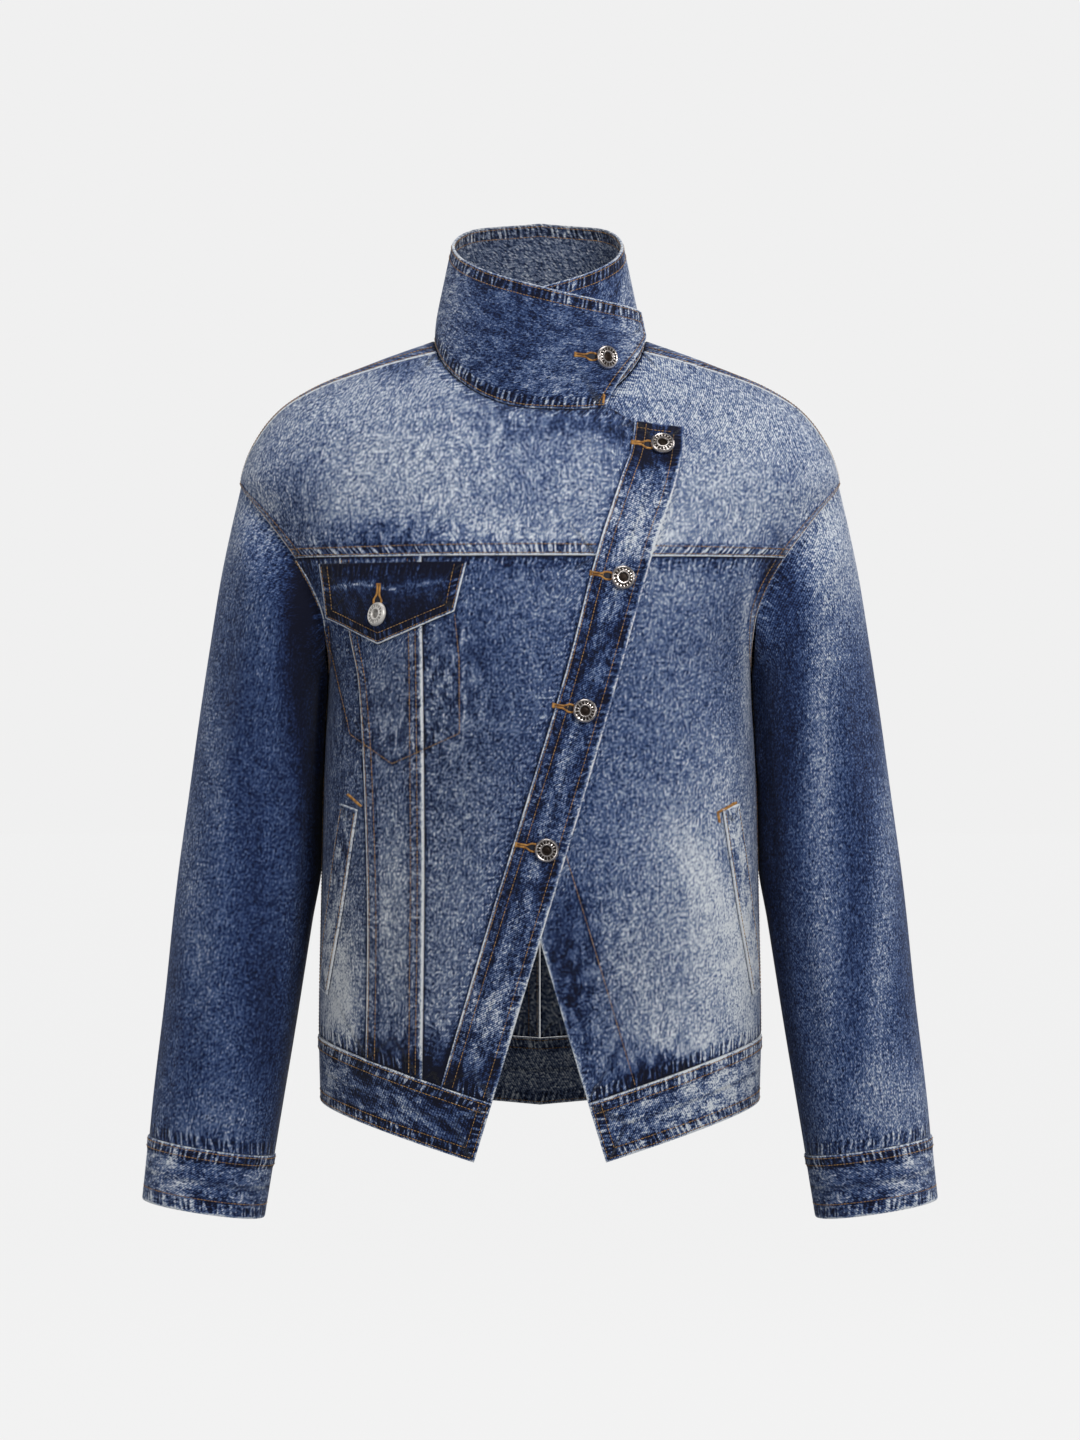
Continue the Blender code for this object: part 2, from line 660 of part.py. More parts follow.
def collar_point(end, along, up):
    """A point of one half of the collar. along runs from the centre back to the front end,
    and up from the neck seam to the top edge."""
    foot_angle = blend(-180.0, end.foot_angle, along)
    if foot_angle > 0:
        x = end.neck_x * foot_angle / end.foot_angle
        neck_angle, level = on_front(x, NECKLINES[end.side](x))
    else:
        neck_angle, level = foot_angle, NECK
    seam = body_cloth(neck_angle, level, 0.0, end.side if neck_angle > -90 else 0).place
    seam.z += SEAM_GAP
    sweep = smooth_step((along - COLLAR_SWEEP_START) / (1 - COLLAR_SWEEP_START))
    sweep *= min(up / COLLAR_CORNER, 1.0) ** COLLAR_SWEEP_POWER
    angle = foot_angle + (end.tip_angle - end.foot_angle) * sweep
    z = blend(seam.z, collar_edge(angle), up)
    lift = end.lift * smooth_step((foot_angle - COLLAR_LIFT_START) / COLLAR_LIFT_RUN)
    foot_miss = seam - collar_cone(foot_angle, seam.z) - collar_normal(foot_angle, seam.z) * lift
    share = max(1 - up / COLLAR_FLARE, 0.0) ** 2
    return collar_cone(angle, z) + collar_normal(angle, z) * lift + foot_miss * share


def make_collar():
    """One band round the neck: the right end lies on the left end."""
    grid = []
    for up in even(COLLAR_ROWS):
        right = [collar_point(COLLAR_ENDS["right"], along, up) for along in even(COLLAR_COLUMNS)]
        left = [collar_point(COLLAR_ENDS["left"], along, up) for along in even(COLLAR_COLUMNS)]
        grid.append([mirrored(place, -1) for place in left[:0:-1]] + right)
    cloth_piece("collar", with_normals(grid), 1, COLLAR_CLOTH, DENIM_DARK)


def armhole_cloth(angle, inset):
    """A point of the armhole seam on the wearer's right, or inset towards the hole's middle.
    Angle is 0 at the shoulder and 90 at the front."""
    sine, cosine = math.sin(math.radians(angle)), math.cos(math.radians(angle))
    front = sine >= 0
    level = ARM_MIDDLE + (ARM_HALF - inset) * cosine
    depth = ((ARM_FRONT_DEPTH if front else ARM_BACK_DEPTH) - inset) * abs(sine) * (1 - ARM_SKEW * cosine)
    from_centre = angle_at_depth(level, depth, front)
    return body_cloth(-from_centre if front else -180.0 + from_centre, level)


def section_point(section, angle, lift=0.0):
    """A point of a sleeve's cross-section on the wearer's right, moved out by a lift."""
    sine, cosine = math.sin(math.radians(angle)), math.cos(math.radians(angle))
    reach = (abs(sine) ** SLEEVE_CORNER + abs(cosine) ** SLEEVE_CORNER) ** (-1 / SLEEVE_CORNER)
    inner = Vector((-section.inner_x, section.middle_y, section.inner_z))
    outer = Vector((-section.outer_x, section.middle_y, section.outer_z))
    middle, half = (inner + outer) / 2, (outer - inner) / 2
    across = half + half.normalized() * lift
    return middle + across * cosine * reach - Vector((0, section.half_depth + lift, 0)) * sine * reach


def smooth_path(points, shares):
    """Points at shares of the length of a smooth path through points."""
    lengths = [0.0]
    for a, b in zip(points, points[1:]):
        lengths.append(lengths[-1] + (b - a).length)
    curves = [smooth_curve(lengths, [point[axis] for point in points]) for axis in range(3)]
    return [Vector([curve(share * lengths[-1]) for curve in curves]) for share in shares]


def sleeve_path(angle):
    """One line down the sleeve, from the armhole seam to the cuff seam. Its first stretch
    follows the body's surface, but under the arm it turns straight down."""
    under = smooth_step(-math.cos(math.radians(angle)) * UNDER_ARM_TURN)
    seam = armhole_cloth(angle, SEAM_GAP)
    start = seam.place + seam.outward * UNDER_ARM_LIFT * under
    sections = [section_point(section, angle) for section in SLEEVE_SECTIONS]
    onward = armhole_cloth(angle, SLEEVE_RUN_ON).place
    down = start + (sections[0] - start).normalized() * SLEEVE_RUN_ON
    shares = [share ** SLEEVE_CROWD for share in even(SLEEVE_ROWS)]
    path = smooth_path([onward.lerp(down, under)] + sections, shares)
    return [start] + path, seam.outward, under


def straight_between(points):
    """A closed row with every second point moved to the middle of its neighbours."""
    count = len(points)
    return [point if i % 2 == 0 else points[i - 1].lerp(points[(i + 1) % count], 0.5)
            for i, point in enumerate(points)]


def make_sleeve(side, name):
    """A sleeve from its armhole to the cuff seam, one tube with a seam under the arm. Its
    armhole edge bends only where the body's edge does."""
    angles = [360.0 * place for place in even(SLEEVE_ROUND)[:-1]]
    paths, seam_normals, unders = zip(*(sleeve_path(angle) for angle in angles))
    seam_normals = straight_between(seam_normals)
    for path, start in zip(paths, straight_between([path[0] for path in paths])):
        path[0] = start
    grid = []
    for i in range(len(paths[0])):
        middle = sum((path[i] for path in paths), Vector()) / len(paths)
        row = []
        for angle, path in zip(angles, paths):
            depth = fold_depth(SLEEVE_FOLDS, angle, i / (len(path) - 1))
            row.append(path[i] + (middle - path[i]).normalized() * depth)
        grid.append(row)
    cloth = with_normals(grid[::-1], round_closed=True)
    cloth[-1] = [ClothPoint(point.place, seam_normal.lerp(point.outward, under).normalized())
                 for point, seam_normal, under in zip(cloth[-1], seam_normals, unders)]
    cloth_piece(name, cloth, side, CLOTH, DENIM_BLUE, round_closed=True)


def make_cuff(side, name):
    """A cuff, a straight band round the sleeve's end."""
    top, bottom = CUFF_SECTIONS
    grid = []
    for place in even(CUFF_ROWS):
        section = Section(*(blend(a, b, place) for a, b in zip(bottom, top)))
        grid.append([section_point(section, 360.0 * turn, CUFF_LIFT) for turn in even(SLEEVE_ROUND)[:-1]])
    cloth = with_normals(grid, round_closed=True)
    cloth_piece(name, cloth, side, CLOTH + 2 * CUFF_LIFT, DENIM_DARK, round_closed=True)


def make_flap():
    """The pointed chest flap, laid on the right front just under the yoke seam."""
    left, tip, right = FLAP_BOTTOM
    xs = [blend(left.x, tip.x, place) for place in even(FLAP_COLUMNS)]
    xs += [blend(tip.x, right.x, place) for place in even(FLAP_COLUMNS)[1:]]
    grid = []
    for up in even(FLAP_ROWS):
        row = []
        for x in xs:
            low, high = (left, tip) if x <= tip.x else (tip, right)
            bottom_z = blend(low.z, high.z, (x - low.x) / (high.x - low.x))
            top_x = blend(FLAP_TOP_LEFT_X, FLAP_TOP_RIGHT_X, (x - left.x) / (right.x - left.x))
            place = on_front(blend(x, top_x, up), blend(bottom_z, FLAP_TOP_Z, up))
            row.append(body_cloth(*place, FLAP_LIFT, 1))
        grid.append(row)
    cloth_piece("chest_flap", grid, 1, FLAP_CLOTH, DENIM_DARK)


def make_welt(side, name):
    """A pocket's slanting welt."""
    grid = []
    for row in WELT_ROWS[::-1]:
        cloth_row = []
        for place in even(BAND_COLUMNS):
            x, z = blend(row.outer_x, row.inner_x, place), row.z + WELT_DROP * (1 - place)
            cloth_row.append(body_cloth(*on_front(x, z), WELT_LIFT))
        grid.append(cloth_row)
    cloth_piece(name, grid, side, WELT_CLOTH, DENIM_BLUE)


def make_button(name, seat):
    """A round metal shank button: a turned ring with a sunk middle, on a cloth point."""
    mesh = bpy.data.meshes.new(name)
    points = [(point.radius * MM, 0.0, point.height * MM) for point in BUTTON_PROFILE]
    mesh.from_pydata(points, [(i, i + 1) for i in range(len(points) - 1)], [])
    button = add_object(name, mesh, METAL_SILVER, 0.35, 1.0)
    turn = button.modifiers.new("turn", "SCREW")
    turn.steps = turn.render_steps = BUTTON_STEPS
    turn.use_merge_vertices = True
    turn.merge_threshold = 0.00001
    turn.use_smooth_shade = True
    button.location = (seat.place + seat.outward * BUTTON_SEAT) * MM
    button.rotation_euler = seat.outward.to_track_quat("Z", "Y").to_euler()


def make_buttons():
    """The buttons of the band, the flap and the collar."""
    for button in BAND_BUTTONS:
        make_button(button.name, body_cloth(*on_front(button.x, button.z), BAND_LIFT, 1))
    make_button(FLAP_BUTTON.name, body_cloth(*on_front(FLAP_BUTTON.x, FLAP_BUTTON.z), FLAP_LIFT, 1))
    angle = bisect(lambda a: collar_cone(a, COLLAR_BUTTON.z).x - COLLAR_BUTTON.x, 0.0, 89.0)
    outward = collar_normal(angle, COLLAR_BUTTON.z)
    place = collar_cone(angle, COLLAR_BUTTON.z) + outward * COLLAR_ENDS["right"].lift
    make_button(COLLAR_BUTTON.name, ClothPoint(place, outward))


for old in list(bpy.data.objects):
    bpy.data.objects.remove(old, do_unlink=True)
jacket = bpy.data.collections.new("denim_jacket")
bpy.context.scene.collection.children.link(jacket)

make_right_front()
make_left_front()
make_placket()
make_back(1, "back_right")
make_back(-1, "back_left")
make_waistband()
make_collar()
for wearer_side, side_name in ((1, "right"), (-1, "left")):
    make_sleeve(wearer_side, "sleeve_" + side_name)
    make_cuff(wearer_side, "cuff_" + side_name)
    make_welt(wearer_side, "welt_" + side_name)
make_flap()
make_buttons()
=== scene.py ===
import math
from collections import namedtuple

import bpy
import numpy as np
from mathutils import Matrix, Vector
from mathutils.bvhtree import BVHTree


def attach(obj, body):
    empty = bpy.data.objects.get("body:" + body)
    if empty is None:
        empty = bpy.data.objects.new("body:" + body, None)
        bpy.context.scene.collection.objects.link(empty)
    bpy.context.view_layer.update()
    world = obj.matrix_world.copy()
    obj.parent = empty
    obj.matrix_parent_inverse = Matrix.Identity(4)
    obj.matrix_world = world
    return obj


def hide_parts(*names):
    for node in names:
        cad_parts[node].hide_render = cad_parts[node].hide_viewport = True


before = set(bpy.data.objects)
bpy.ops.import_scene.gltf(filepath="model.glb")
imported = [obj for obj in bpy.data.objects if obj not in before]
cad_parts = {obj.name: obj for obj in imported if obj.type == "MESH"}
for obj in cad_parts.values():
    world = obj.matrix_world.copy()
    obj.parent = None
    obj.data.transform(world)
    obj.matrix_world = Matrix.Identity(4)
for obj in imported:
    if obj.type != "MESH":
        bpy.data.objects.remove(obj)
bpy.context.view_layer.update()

# A denim jacket with a wrapped stand collar and a diagonal button band. Sizes are in
# millimetres and become metres when a mesh is made. The wearer's right is at -X, the front
# faces -Y. Angles round the body: 0 at the centre front, 90 at the wearer's left, 180 behind.
MM = 0.001


def table(kind, *rows):
    """A table's rows, with their columns named."""
    return [kind(*row) for row in rows]


# ---------------------------------------------------------------- sizes of the body
CLOTH = 1.5
BAND_CLOTH = 2.3
COLLAR_CLOTH = 2.0
BAND_LIFT = 0.8
WAISTBAND_LIFT = 0.6
CUFF_LIFT = 0.5
SEAM_GAP = 0.3

HEM = -560.0
WAIST_SEAM = -512.0
YOKE_SEAM = -163.5
ARM_TOP = -105.0
ARM_BOTTOM = -245.0
NECK = 0.0
ARM_MIDDLE = (ARM_TOP + ARM_BOTTOM) / 2
ARM_HALF = (ARM_TOP - ARM_BOTTOM) / 2
ARM_FRONT_DEPTH = 66.0
ARM_BACK_DEPTH = 72.0
ARM_SKEW = 0.2
SHOULDER_SEAM_FORWARD = 17.0
SHOULDER_SEAM_RUN = 30.0
LAP_LIFT = 1.5
LAP_MARGIN = 40.0
LAP_RAMP = 35.0
LAP_NECK_START = -18.0
LAP_NECK_RAMP = 22.0

Ring = namedtuple("Ring", "level half_width front_depth back_depth front_z back_z corner dip roundness")
RINGS = table(
    Ring,
    (-560.0, 161.5, 118, 112, -611.0, -575.0, 2.6, 1.0, 1.0),
    (-512.0, 162.5, 121, 114, -565.0, -524.0, 2.6, 1.0, 1.0),
    (-400.0, 160.5, 125, 114, -428.0, -405.0, 2.6, 1.3, 1.0),
    (-300.0, 158.5, 126, 115, -310.0, -302.0, 2.6, 1.6, 1.0),
    (-245.0, 157.0, 125, 117, -248.0, -245.0, 2.6, 2.0, 1.0),
    (-211.0, 169.0, 123, 118, -212.0, -209.0, 2.6, 2.0, 1.0),
    (-181.0, 185.0, 119, 118, -181.0, -177.0, 2.6, 2.0, 1.0),
    (-163.5, 194.0, 117, 117, -163.5, -158.0, 2.6, 2.0, 1.0),
    (-126.0, 213.0, 108, 112, -135.0, -115.0, 2.5, 2.0, 1.0),
    (-105.0, 221.0, 104, 108, -123.0, -92.0, 2.4, 2.0, 1.0),
    (-89.0, 216.5, 100, 104, -113.0, -77.0, 2.4, 2.0, 1.0),
    (-67.0, 205.0, 95, 98, -102.0, -58.0, 2.3, 2.0, 0.9),
    (-52.0, 192.0, 90, 93, -93.0, -45.0, 2.3, 2.0, 0.9),
    (-35.5, 168.0, 83, 86, -82.0, -30.0, 2.2, 2.0, 0.8),
    (-15.0, 120.0, 73, 75, -67.0, -10.0, 2.1, 2.0, 0.7),
    (0.0, 78.0, 64, 66, -55.4, 3.0, 2.1, 2.0, 0.6),
)
COLLAR_TOP = Ring(73.0, 62.5, 54, 58, 34.5, 93.5, 2.1, 2.0, 0.6)

SeamPoint = namedtuple("SeamPoint", "z x")
FRONT_EDGE = table(
    SeamPoint,
    (-640.0, -60.5), (-595.0, -47.0), (-554.0, -34.5),
    (-440.0, -0.5), (-300.0, 41.5), (-166.0, 79.0),
    (-91.0, 101.5), (-69.0, 104.0),
)
BAND_SEAM = table(
    SeamPoint,
    (-560.0, -76.0), (-437.0, -40.0), (-346.0, -12.0),
    (-238.0, 20.5), (-159.0, 41.0), (-106.0, 58.5),
    (-86.0, 65.5), (-65.5, 68.5),
)
STRIP_OUTER_SEAM = table(
    SeamPoint,
    (-560.0, -125.5), (-427.0, -123.5), (-324.0, -126.0),
    (-255.0, -131.0), (-217.0, -138.5), (-150.0, -146.0),
)
STRIP_INNER_SEAM = table(
    SeamPoint,
    (-560.0, -84.5), (-388.0, -82.5), (-150.0, -84.5),
)
NeckPoint = namedtuple("NeckPoint", "x z")
RIGHT_NECKLINE = table(
    NeckPoint,
    (0.0, -55.6), (24.0, -56.0), (48.0, -54.5), (68.5, -65.5),
    (104.0, -69.5),
)
LEFT_NECKLINE = table(
    NeckPoint,
    (0.0, -55.6), (25.0, -53.5), (36.0, -61.0), (68.5, -70.0),
    (104.0, -74.0),
)
NECK_KNOTS = {
    1: (0.0, 16.0, 32.0, 48.0, 58.0, 68.5),
    -1: (0.0, 12.5, 25.0, 36.0, 52.0, 68.5, 86.0, 104.0),
}
OWN_NECK_KNOTS = 7

CollarPoint = namedtuple("CollarPoint", "angle z")
COLLAR_EDGE = table(
    CollarPoint,
    (-180.0, 93.5), (-135.0, 88.0), (-90.0, 71.5),
    (-60.0, 57.0), (-30.0, 44.5), (0.0, 35.0),
    (30.0, 27.5), (60.0, 23.0), (85.0, 20.5),
)
CollarEnd = namedtuple("CollarEnd", "side neck_x foot_angle tip_angle lift")
COLLAR_ENDS = {
    1: CollarEnd(1, 48.0, 38.0, 84.0, 2.4),
    -1: CollarEnd(-1, 25.0, 19.0, 21.0, -1.2),
}
COLLAR_CORNER = 0.75
COLLAR_SWEEP_START = 0.7
COLLAR_SWEEP_POWER = 1.6
COLLAR_FLARE = 0.35
COLLAR_OVERRUN = 1.1
COLLAR_LIFT_START = -150.0
COLLAR_LIFT_RUN = 70.0

Section = namedtuple("Section", "outer_x outer_z inner_x inner_z middle_y half_depth")
SLEEVE_SECTIONS = table(
    Section,
    (228.5, -140.0, 158.6, -262.0, 5, 71),
    (236.0, -175.0, 159.4, -280.0, 8, 71),
    (245.0, -229.0, 160.0, -312.0, 12, 70),
    (253.0, -280.0, 160.6, -345.0, 14, 68),
    (260.5, -333.0, 161.8, -385.0, 14, 65),
    (269.0, -397.5, 169.0, -430.0, 12, 61),
    (278.0, -486.0, 181.0, -507.0, 8, 54),
    (287.0, -565.0, 193.0, -580.0, 4, 47),
    (289.0, -587.0, 196.5, -601.5, 3, 45),
)
CUFF_SECTIONS = table(
    Section,
    (289.3, -587.4, 196.6, -601.9, 3, 45),
    (294.0, -634.0, 204.0, -648.0, 1, 43),
)
SLEEVE_CORNER = 2.15
SLEEVE_RUN_ON = 2.5
UNDER_ARM_LIFT = 0.9
UNDER_ARM_TURN = 1.3

FLAP_TOP_Z = -168.0
FLAP_TOP_LEFT_X = -159.0
FLAP_TOP_RIGHT_X = -52.0
FLAP_BOTTOM = (NeckPoint(-154.0, -206.5), NeckPoint(-115.0, -226.0), NeckPoint(-60.5, -203.5))
FLAP_LIFT = 3.4
FLAP_CLOTH = 1.7
WeltRow = namedtuple("WeltRow", "z inner_x outer_x")
WELT_ROWS = table(
    WeltRow,
    (-345.0, -130.5, -142.5), (-380.0, -136.0, -148.0), (-418.0, -142.0, -153.0),
    (-450.0, -148.0, -157.0), (-480.0, -153.5, -159.5),
)
WELT_DROP = 4.0
WELT_LIFT = 2.3
WELT_CLOTH = 1.5

# ---------------------------------------------------------------- soft folds and ridges
# Along a sleeve: angle round it from its outer line towards the front, start and end as
# shares of its length, half width in degrees, and depth, below zero for a ridge.
Fold = namedtuple("Fold", "angle start end half_angle depth")
SLEEVE_FOLDS = table(
    Fold,
    (52, 0.10, 0.62, 13, 3.0), (84, 0.22, 0.80, 12, 2.4), (118, 0.12, 0.55, 13, 3.2),
    (128, 0.55, 0.95, 12, 2.6), (62, 0.58, 0.97, 12, 2.2), (238, 0.14, 0.70, 14, 3.4),
    (278, 0.30, 0.92, 13, 2.8), (312, 0.08, 0.55, 13, 2.6),
    (100, 0.05, 0.30, 6, 1.3), (70, 0.03, 0.22, 5, 1.0), (35, 0.02, 0.18, 5, 0.8),
    (98, 0.66, 0.99, 5, 1.3), (76, 0.72, 1.0, 4, -0.8), (45, 0.80, 1.0, 4, 0.9),
    (112, 0.86, 1.0, 3.5, 0.9), (20, 0.84, 1.0, 4, 0.8), (88, 0.88, 1.0, 3, 0.7),
    (142, 0.30, 0.62, 5, 1.6), (150, 0.46, 0.78, 5, 1.3), (222, 0.32, 0.60, 6, 1.5),
    (208, 0.44, 0.74, 5, 1.2), (255, 0.84, 1.0, 4, 0.9), (292, 0.82, 1.0, 5, 0.9),
    (328, 0.86, 1.0, 4, 0.8), (265, 0.04, 0.30, 6, 1.2), (5, 0.35, 0.75, 6, 1.0),
)
# Down the body: angle from the centre front on either side, and levels.
BODY_FOLDS = table(
    Fold,
    (52, -330, -40, 9, 2.2), (118, -470, -150, 10, 2.6), (150, -430, -190, 10, 2.0),
)
# Smaller ones on the panels, as seen from in front or behind: the two ends, half width, depth.
Crease = namedtuple("Crease", "x0 z0 x1 z1 half depth")
FRONT_CREASES = table(
    Crease,
    (158, -175, 154, -330, 4.5, 1.6), (-158, -175, -155, -330, 4.5, 1.4),
    (150, -190, 120, -250, 6, 1.1), (-40, -180, -60, -260, 7, 0.6),
    (120, -120, 150, -165, 7, 0.9), (-130, -100, -160, -160, 8, 0.9),
    (60, -330, 138, -450, 9, -1.0), (30, -300, 90, -380, 8, 0.8),
    (100, -470, 130, -530, 6, 0.8), (70, -480, 80, -540, 5, 0.7),
    (-104, -440, -108, -530, 5, 0.9), (-92, -400, -94, -500, 4, -0.6),
    (-20, -60, -60, -110, 9, 0.7), (30, -62, 40, -110, 8, 0.6),
    (128, -60, 150, -110, 8, 0.6), (-140, -400, -146, -500, 5, 0.7),
)
BACK_CREASES = table(
    Crease,
    (-150, -180, -110, -260, 9, 1.5), (150, -176, 112, -262, 9, 1.4),
    (-120, -130, -70, -200, 9, 0.9), (122, -128, 66, -196, 9, 0.9),
    (-60, -400, -70, -510, 8, 1.0), (64, -390, 58, -505, 8, 0.9),
    (-110, -420, -104, -515, 6, 0.8), (108, -430, 112, -515, 6, 0.8),
    (-40, -30, -60, -90, 8, 0.7), (44, -28, 58, -88, 8, 0.7),
    (-20, -220, -30, -330, 10, 0.6), (26, -230, 22, -340, 10, 0.6),
)

# ---------------------------------------------------------------- how an edge is sewn
# band: width of the turned and lapped strip; rows: distances of the topstitching; wear: how
# white the fold is worn; pucker: how strongly the cloth is drawn in along the seam.
Edge = namedtuple("Edge", "band rows wear pucker")
UNDER = Edge(0.0, (), 0.0, 0.5)
SMOOTH = Edge(0.0, (), 0.0, 0.0)
LAPPED = Edge(9.6, (2.0, 8.4), 1.0, 0.9)
LONG_LAP = Edge(9.6, (2.0, 8.4), 1.5, 0.30)
LONG_UNDER = Edge(0.0, (), 0.0, 0.25)
WAIST_UNDER = Edge(0.0, (), 0.0, 1.0)
FOLDED = Edge(0.0, (), 1.3, 0.3)
STRIP_INNER_EDGE = Edge(11.4, (4.8, 10.0), 1.6, 0.30)
FRONT_FOLD = Edge(0.0, (6.8,), 1.4, 0.5)
TOP_FOLD = Edge(0.0, (6.5,), 0.9, 0.6)
BUTTON_EDGE = Edge(0.0, (36.0,), 1.3, 0.2)
NECK_EDGE = Edge(0.0, (2.0,), 0.7, 1.1)
COLLAR_RIM = Edge(0.0, (2.2, 9.5), 1.0, 1.0)
COLLAR_END = Edge(0.0, (6.0,), 1.0, 0.5)
BAND_RIM = Edge(0.0, (2.2, 8.4), 1.0, 0.9)
FLAP_RIM = Edge(0.0, (2.2, 8.2), 2.5, 0.95)
WELT_RIM = Edge(0.0, (1.8,), 1.1, 0.3)
ARMHOLE_SEAM = Edge(0.0, (), 0.2, 0.35)
SLEEVE_END = Edge(0.0, (), 0.2, 0.8)
CUFF_RIM = Edge(0.0, (10.4,), 1.0, 0.75)
CUFF_SEAM = Edge(8.2, (2.0, 7.2), 0.7, 1.0)
# Edges that lie tucked under another piece, with a painted shadow along them
TUCKED_UNDER = (UNDER, LONG_UNDER, WAIST_UNDER)
# How high a lapped strip stands and over what width it falls, how deep and wide the trough
# of a row of stitches is, and how far an edge drops and over what width it rounds off
LAP_RISE, LAP_FALL = 0.75, 1.1
STITCH_SINK, STITCH_TROUGH = 0.22, 0.9
EDGE_DROP, EDGE_ROUND = 0.45, 0.9
# How wide a fold's worn line is, past its flat top, and a stitch row's dark line of painted
# shade; then how dark the painted shadow just past a lapped strip is and how far past it lies,
# and how dark and wide the painted shadow is on a piece that is tucked under one
WORN_TOP, WORN_WIDTH = 0.5, 1.1
GROOVE_SHADE_WIDTH = 0.8
STRIP_SHADOW, STRIP_SHADOW_PLACE = 0.9, 0.9
TUCK_SHADOW, TUCK_SHADOW_WIDTH = 1.5, 1.6
# Where along its noise each of a piece's four edges starts, so that no two pucker alike
PUCKER_STARTS = (0, 311, 733, 1223)
FAR = 1e4
SEAM_REACH = 200


# ---------------------------------------------------------------- curves and surfaces
BISECTIONS = 34
NORMAL_STEP = 0.5
# How far a fold reaches and a crease wanders, in half widths, how often it bends, and how
# slowly it comes up at its ends
FOLD_REACH = 2.5
CREASE_WANDER, CREASE_BENDS, CREASE_ENDS = 0.35, 5.0, 1.5
# The last angle that is seen from in front
FRONT_LIMIT = 89.0


def smooth_curve(stations, values):
    """A monotone cubic through a short table, for arrays."""
    stations, values = np.asarray(stations, float), np.asarray(values, float)
    steps = np.diff(stations)
    slopes = np.diff(values) / steps
    tangents = np.zeros(len(values))
    tangents[0], tangents[-1] = slopes[0], slopes[-1]
    for i in range(1, len(slopes)):
        if slopes[i - 1] * slopes[i] > 0:
            near, far = 2 * steps[i] + steps[i - 1], steps[i] + 2 * steps[i - 1]
            tangents[i] = (near + far) / (near / slopes[i - 1] + far / slopes[i])

    def value(station):
        station = np.clip(station, stations[0], stations[-1])
        i = np.clip(np.searchsorted(stations, station, side="left") - 1, 0, len(steps) - 1)
        t = (station - stations[i]) / steps[i]
        rise = steps[i] * (t * (1 - t) ** 2 * tangents[i] - t * t * (1 - t) * tangents[i + 1])
        return values[i] + (values[i + 1] - values[i]) * t * t * (3 - 2 * t) + rise

    return value


def smooth_step(x):
    x = np.clip(x, 0.0, 1.0)
    return x * x * (3 - 2 * x)


def blend(a, b, t):
    return a + (b - a) * t


def bisect(function, low, high, like):
    """Where a rising function crosses zero, for arrays."""
    low, high = np.full(np.shape(like), low, float), np.full(np.shape(like), high, float)
    for _ in range(BISECTIONS):
        middle = (low + high) / 2
        below = function(middle) < 0
        low, high = np.where(below, middle, low), np.where(below, high, middle)
    return (low + high) / 2


def unit(vectors):
    return vectors / np.maximum(np.linalg.norm(vectors, axis=-1, keepdims=True), 1e-9)


RING_CURVES = [smooth_curve([ring.level for ring in RINGS], values) for values in zip(*RINGS)]
front_edge = smooth_curve(*zip(*FRONT_EDGE))
band_seam = smooth_curve(*zip(*BAND_SEAM))
strip_outer_seam = smooth_curve(*zip(*STRIP_OUTER_SEAM))
strip_inner_seam = smooth_curve(*zip(*STRIP_INNER_SEAM))
collar_edge = smooth_curve(*zip(*COLLAR_EDGE))
NECKLINES = {1: smooth_curve(*zip(*RIGHT_NECKLINE)), -1: smooth_curve(*zip(*LEFT_NECKLINE))}


def ring_at(level):
    return Ring(*(curve(level) for curve in RING_CURVES))


def ring_point(ring, side_z, angle):
    """A point of a ring, from its sizes."""
    sine, cosine = np.sin(np.radians(angle)), np.cos(np.radians(angle))
    reach = (np.abs(sine) ** ring.corner + np.abs(cosine) ** ring.corner) ** (-1 / ring.corner)
    front = cosine > 0
    depth = np.where(front, ring.front_depth, ring.back_depth)
    end_z = np.where(front, ring.front_z, ring.back_z)
    across = np.minimum(np.abs(sine) * reach, 1.0)
    drop = (1 - across ** ring.dip) ** ring.roundness
    return np.stack([ring.half_width * sine * reach, -depth * cosine * reach,
                     blend(side_z, end_z, drop)], axis=-1)


def torso(angle, level):
    return ring_point(ring_at(level), level, angle)


def surface_normal(surface, angle, level):
    along = surface(angle + NORMAL_STEP, level) - surface(angle - NORMAL_STEP, level)
    up = surface(angle, level + NORMAL_STEP) - surface(angle, level - NORMAL_STEP)
    return unit(np.cross(along, up))


def body_normal(angle, level):
    return surface_normal(torso, angle, np.clip(level, HEM + 2 * NORMAL_STEP, NECK - 2 * NORMAL_STEP))


def fold_depth(folds, angle, along):
    depth = np.zeros(np.broadcast(angle, along).shape)
    for fold in folds:
        across = (angle - fold.angle) / fold.half_angle
        run = (along - fold.start) / (fold.end - fold.start)
        inside = (np.abs(across) < FOLD_REACH) & (run > 0) & (run < 1)
        depth += inside * fold.depth * np.exp(-across * across) * np.sin(math.pi * run) ** 2
    return depth


def crease_depth(creases, x, z):
    """Depth of the small creases at places seen from in front or behind."""
    depth = np.zeros(np.shape(x))
    for crease in creases:
        along_x, along_z = crease.x1 - crease.x0, crease.z1 - crease.z0
        long = math.hypot(along_x, along_z)
        run = ((x - crease.x0) * along_x + (z - crease.z0) * along_z) / long ** 2
        off = ((x - crease.x0) * along_z - (z - crease.z0) * along_x) / long / crease.half
        off = off + CREASE_WANDER * np.sin(run * CREASE_BENDS + crease.half)
        swell = np.sin(math.pi * np.clip(run, 0, 1)) ** CREASE_ENDS
        depth += ((run > 0) & (run < 1)) * crease.depth * np.exp(-off * off) * swell
    return depth


def lap_share(x, z):
    past_hidden_edge = x + front_edge(z)
    below_neck = smooth_step((LAP_NECK_START - z) / LAP_NECK_RAMP)
    return smooth_step((past_hidden_edge + LAP_MARGIN) / LAP_RAMP) * below_neck


